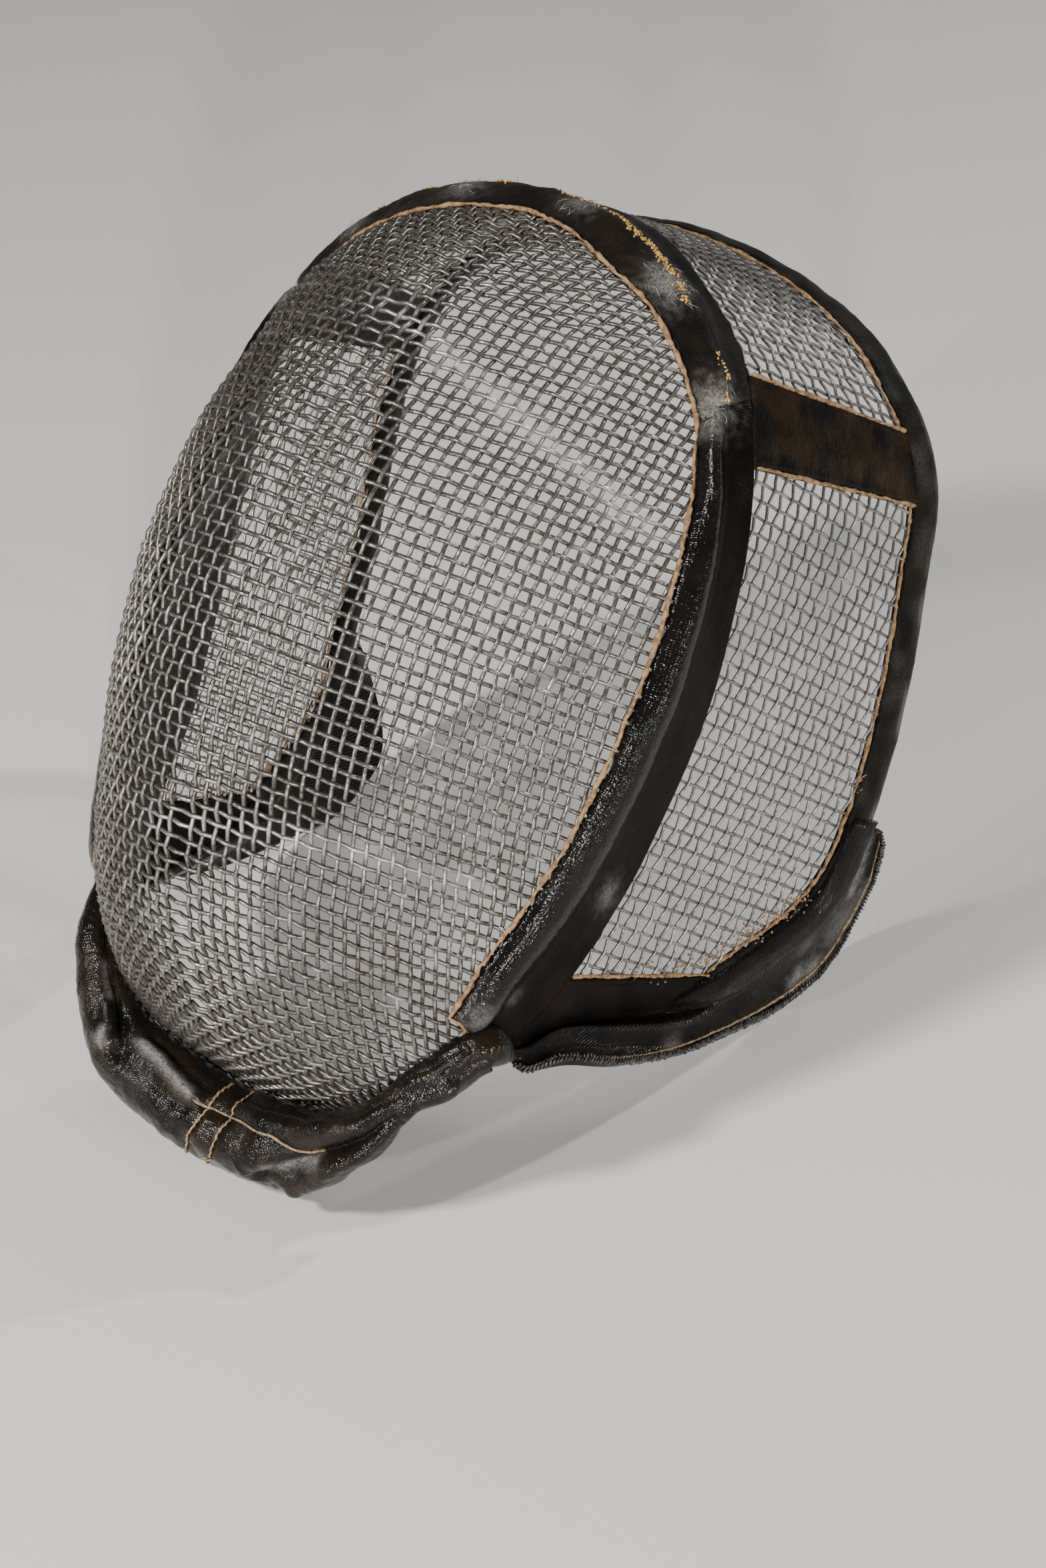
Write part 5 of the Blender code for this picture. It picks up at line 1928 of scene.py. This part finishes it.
crumbTable = (
    {"row": 0.05, "across": 0.60, "count": 7, "spread": 0.0016},
    {"row": 0.40, "across": 0.56, "count": 18, "spread": 0.0022},
    {"row": 0.82, "across": 0.57, "count": 12, "spread": 0.0020},
    {"row": 1.20, "across": 0.56, "count": 18, "spread": 0.0018},
    {"row": 1.50, "across": 0.53, "count": 20, "spread": 0.0018},
    {"row": 1.78, "across": 0.50, "count": 26, "spread": 0.0015},
    {"row": 2.09, "across": 0.49, "count": 34, "spread": 0.0014},
    {"row": 2.40, "across": 0.47, "count": 34, "spread": 0.0013},
    {"row": 2.70, "across": 0.44, "count": 26, "spread": 0.0012},
    {"row": 2.98, "across": 0.40, "count": 20, "spread": 0.0012},
    {"row": 3.24, "across": 0.36, "count": 12, "spread": 0.0012},
    {"row": 4.46, "across": 0.46, "count": 9, "spread": 0.0015},
    {"row": 4.70, "across": 0.52, "count": 7, "spread": 0.0013},
    {"row": 5.04, "across": 0.42, "count": 9, "spread": 0.0013},
    {"row": -0.90, "across": 0.52, "count": 14, "spread": 0.0020},
    {"row": -2.20, "across": 0.50, "count": 18, "spread": 0.0016},
    {"row": -3.10, "across": 0.44, "count": 10, "spread": 0.0014},
)
# dried brown paste at the low rear corner of the ear mesh and beside the strap
residueTable = (
    {"row": 12.60, "across": 1.76, "count": 30, "spread": 0.0020},
    {"row": 12.25, "across": 1.82, "count": 46, "spread": 0.0022},
    {"row": 11.90, "across": 1.87, "count": 46, "spread": 0.0022},
    {"row": 11.50, "across": 1.90, "count": 30, "spread": 0.0018},
    {"row": 12.80, "across": 1.60, "count": 26, "spread": 0.0018},
    {"row": 12.85, "across": 1.35, "count": 14, "spread": 0.0016},
    {"row": 9.60, "across": 1.93, "count": 12, "spread": 0.0016},
)
trimSkin = surfaceOf(trim)
cheekSkin = surfaceOf(cheekLeft)


def onBand(row, across, lift):
    point, normal = wallFrame(row, across)
    origin = toWorld @ (point + normal * 0.03)
    heading = -(toWorld.to_3x3() @ normal)
    hit, found, _, _ = trimSkin.ray_cast(origin, heading)
    if hit is None:
        hit, found, _, _ = cheekSkin.ray_cast(origin, heading)
    if hit is None:
        return point + normal * 0.005, normal
    found = toMask.to_3x3() @ found
    if found.dot(normal) < 0:
        found.negate()
    return toMask @ hit + found * lift, found


def crumbTree():
    tree, given, result = newGroup(
        "crumbs",
        (
            ("Geometry", "NodeSocketGeometry", None),
            ("Size", "NodeSocketFloat", 0.0006),
            ("Seed", "NodeSocketInt", 5),
            ("Material", "NodeSocketMaterial", None),
        ),
        (("Geometry", "NodeSocketGeometry"),),
        "GeometryNodeTree",
    )
    ball = newNode(tree, "GeometryNodeMeshIcoSphere", {"Radius": given.outputs["Size"], "Subdivisions": 2})
    size = newNode(
        tree,
        "FunctionNodeRandomValue",
        {0: (0.45, 0.45, 0.35), 1: (1.5, 1.0, 0.8), "Seed": given.outputs["Seed"]},
        data_type="FLOAT_VECTOR",
    )
    turn = newNode(
        tree,
        "FunctionNodeRandomValue",
        {0: (0.0, 0.0, 0.0), 1: (6.3, 6.3, 6.3), "Seed": given.outputs["Seed"]},
        data_type="FLOAT_VECTOR",
    )
    points = newNode(tree, "GeometryNodeMeshToPoints", {"Mesh": given.outputs["Geometry"]})
    placed = newNode(
        tree,
        "GeometryNodeInstanceOnPoints",
        {
            "Points": points.outputs[0],
            "Instance": ball.outputs[0],
            "Rotation": turn.outputs[0],
            "Scale": size.outputs[0],
        },
    )
    whole = newNode(tree, "GeometryNodeRealizeInstances", {"Geometry": placed.outputs[0]})
    soft = newNode(tree, "GeometryNodeSetShadeSmooth", {"Geometry": whole.outputs[0]})
    dressed = newNode(
        tree,
        "GeometryNodeSetMaterial",
        {"Geometry": soft.outputs[0], "Material": given.outputs["Material"]},
    )
    tree.links.new(dressed.outputs[0], result.inputs[0])
    return tree


def crumbs(name, table, size, material):
    points = []
    for spot in table:
        for _ in range(spot["count"]):
            row = spot["row"] + random.gauss(0, spot["spread"] / 0.020)
            across = spot["across"] + random.gauss(0, spot["spread"] / 0.045)
            points.append(onBand(row, across, 0.0001)[0])
    made = makeMesh(name, points, ())
    return withNodes(made, crumbNodes, {"Size": size, "Material": material})


crumbNodes = crumbTree()
crumbPiece = crumbs("glue_crumbs", crumbTable, 0.00056, amber)
finishPiece(crumbPiece, None, "worn_cloth")
residuePiece = crumbs("dried_paste", residueTable, 0.00048, tanEdge)
finishPiece(residuePiece, None, "worn_cloth")


def lintFibres():
    # curled fibres caught on the rubbed spots
    paths = []
    for spot in scuffSpots:
        if abs(spot["row"]) > 5.3:
            continue
        for _ in range(int(26 * spot["strength"])):
            row = spot["row"] + random.gauss(0, 0.16)
            across = max(0.05, min(0.95, spot["across"] + random.gauss(0, 0.10)))
            point, normal = onBand(row, across, 0.0001)
            heading = Vector((random.uniform(-1, 1), random.uniform(-1, 1), random.uniform(-1, 1)))
            heading = (heading - normal * heading.dot(normal)).normalized()
            curl = random.uniform(-0.9, 0.9)
            length = random.uniform(0.0015, 0.0045)
            path = []
            for n in range(6):
                share = n / 5
                rise = math.sin(share * math.pi * random.uniform(0.8, 1.0)) * random.uniform(0.0002, 0.0008)
                turned = Matrix.Rotation(curl * share, 3, normal) @ heading
                path.append(point + turned * length * share + normal * rise)
            paths.append(path)
    return edgeLine("lint_fibres", paths, 0.00006, lint, 0.3)


lintPiece = lintFibres()
finishPiece(lintPiece, None, "worn_cloth")
print("crumbs and lint made", len(crumbPiece.data.polygons), len(lintPiece.data.polygons))

# ---- room, lights and camera ----

room = {"floor": (0.82, 0.81, 0.79, 1), "world": 0.14}


def makeFloor():
    mesh = bpy.data.meshes.new("floor")
    reach = 9.0
    mesh.from_pydata(
        [(-reach, -reach, 0), (reach, -reach, 0), (reach, reach, 0), (-reach, reach, 0)], [], [(0, 1, 2, 3)]
    )
    floor = bpy.data.objects.new("floor", mesh)
    bpy.context.scene.collection.objects.link(floor)
    material, tree, shader = newMaterial("floor", Roughness=0.75)
    shader.inputs["Base Color"].default_value = room["floor"]
    floor.data.materials.append(material)
    floor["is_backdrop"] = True


def makeWorld():
    world = bpy.data.worlds.new("studio")
    world.use_nodes = True
    world.node_tree.nodes["Background"].inputs["Color"].default_value = (1.0, 0.985, 0.96, 1)
    world.node_tree.nodes["Background"].inputs["Strength"].default_value = room["world"]
    bpy.context.scene.world = world


cameraPlace = {
    "azimuth": 31.154,
    "elevation": 0.327,
    "roll": 20.599,
    "distance": 0.86403,
    "across": -0.08230,
    "up": 0.05963,
    "lens": 70.0,
}


def makeCamera():
    turn, rise, roll = (math.radians(cameraPlace[k]) for k in ("azimuth", "elevation", "roll"))
    toEye = Vector((math.sin(turn) * math.cos(rise), -math.cos(turn) * math.cos(rise), math.sin(rise)))
    level = Vector((math.cos(turn), math.sin(turn), 0))
    upright = toEye.cross(level)
    right = level * math.cos(roll) + upright * math.sin(roll)
    up = upright * math.cos(roll) - level * math.sin(roll)
    eye = toEye * cameraPlace["distance"] - right * cameraPlace["across"] - up * cameraPlace["up"]
    pose = Matrix((right, up, toEye)).transposed().to_4x4()
    pose.translation = eye
    data = bpy.data.cameras.new("camera")
    data.lens = cameraPlace["lens"]
    data.sensor_width = 36.0
    data.clip_start = 0.01
    camera = bpy.data.objects.new("camera", data)
    bpy.context.scene.collection.objects.link(camera)
    camera.matrix_world = toWorld @ pose
    bpy.context.scene.camera = camera
    return camera


def makeLight(name, place, target, size, power, colour=(1, 1, 1)):
    data = bpy.data.lights.new(name, "AREA")
    data.shape = "DISK"
    data.size = size
    data.energy = power
    data.color = colour
    light = bpy.data.objects.new(name, data)
    bpy.context.scene.collection.objects.link(light)
    light.location = place
    aim = Vector(target) - Vector(place)
    light.rotation_euler = aim.to_track_quat("-Z", "Y").to_euler()


makeFloor()
makeWorld()
camera = makeCamera()
lightTable = (
    {"name": "key", "place": (-0.45, -1.30, 1.35), "size": 0.22, "power": 28.0, "colour": (1.0, 0.98, 0.95)},
    {"name": "front", "place": (1.10, -1.35, 0.58), "size": 0.08, "power": 18.0, "colour": (1.0, 0.98, 0.96)},
    {"name": "low", "place": (-0.20, -1.55, 0.38), "size": 0.06, "power": 8.0, "colour": (1.0, 0.98, 0.96)},
    {"name": "rear", "place": (0.97, 1.19, 1.36), "size": 0.09, "power": 14.0, "colour": (0.97, 0.98, 1.0)},
    {"name": "side", "place": (1.85, -0.20, 0.40), "size": 0.08, "power": 7.0, "colour": (0.97, 0.98, 1.0)},
)
for light in lightTable:
    makeLight(light["name"], light["place"], (0, 0, 0.12), light["size"], light["power"], light["colour"])

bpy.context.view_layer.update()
triangles = 0
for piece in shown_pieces():
    piece.data.calc_loop_triangles() if piece.type == "MESH" else None
    triangles += len(piece.data.loop_triangles) if piece.type == "MESH" else 0
print("triangles in all", triangles)
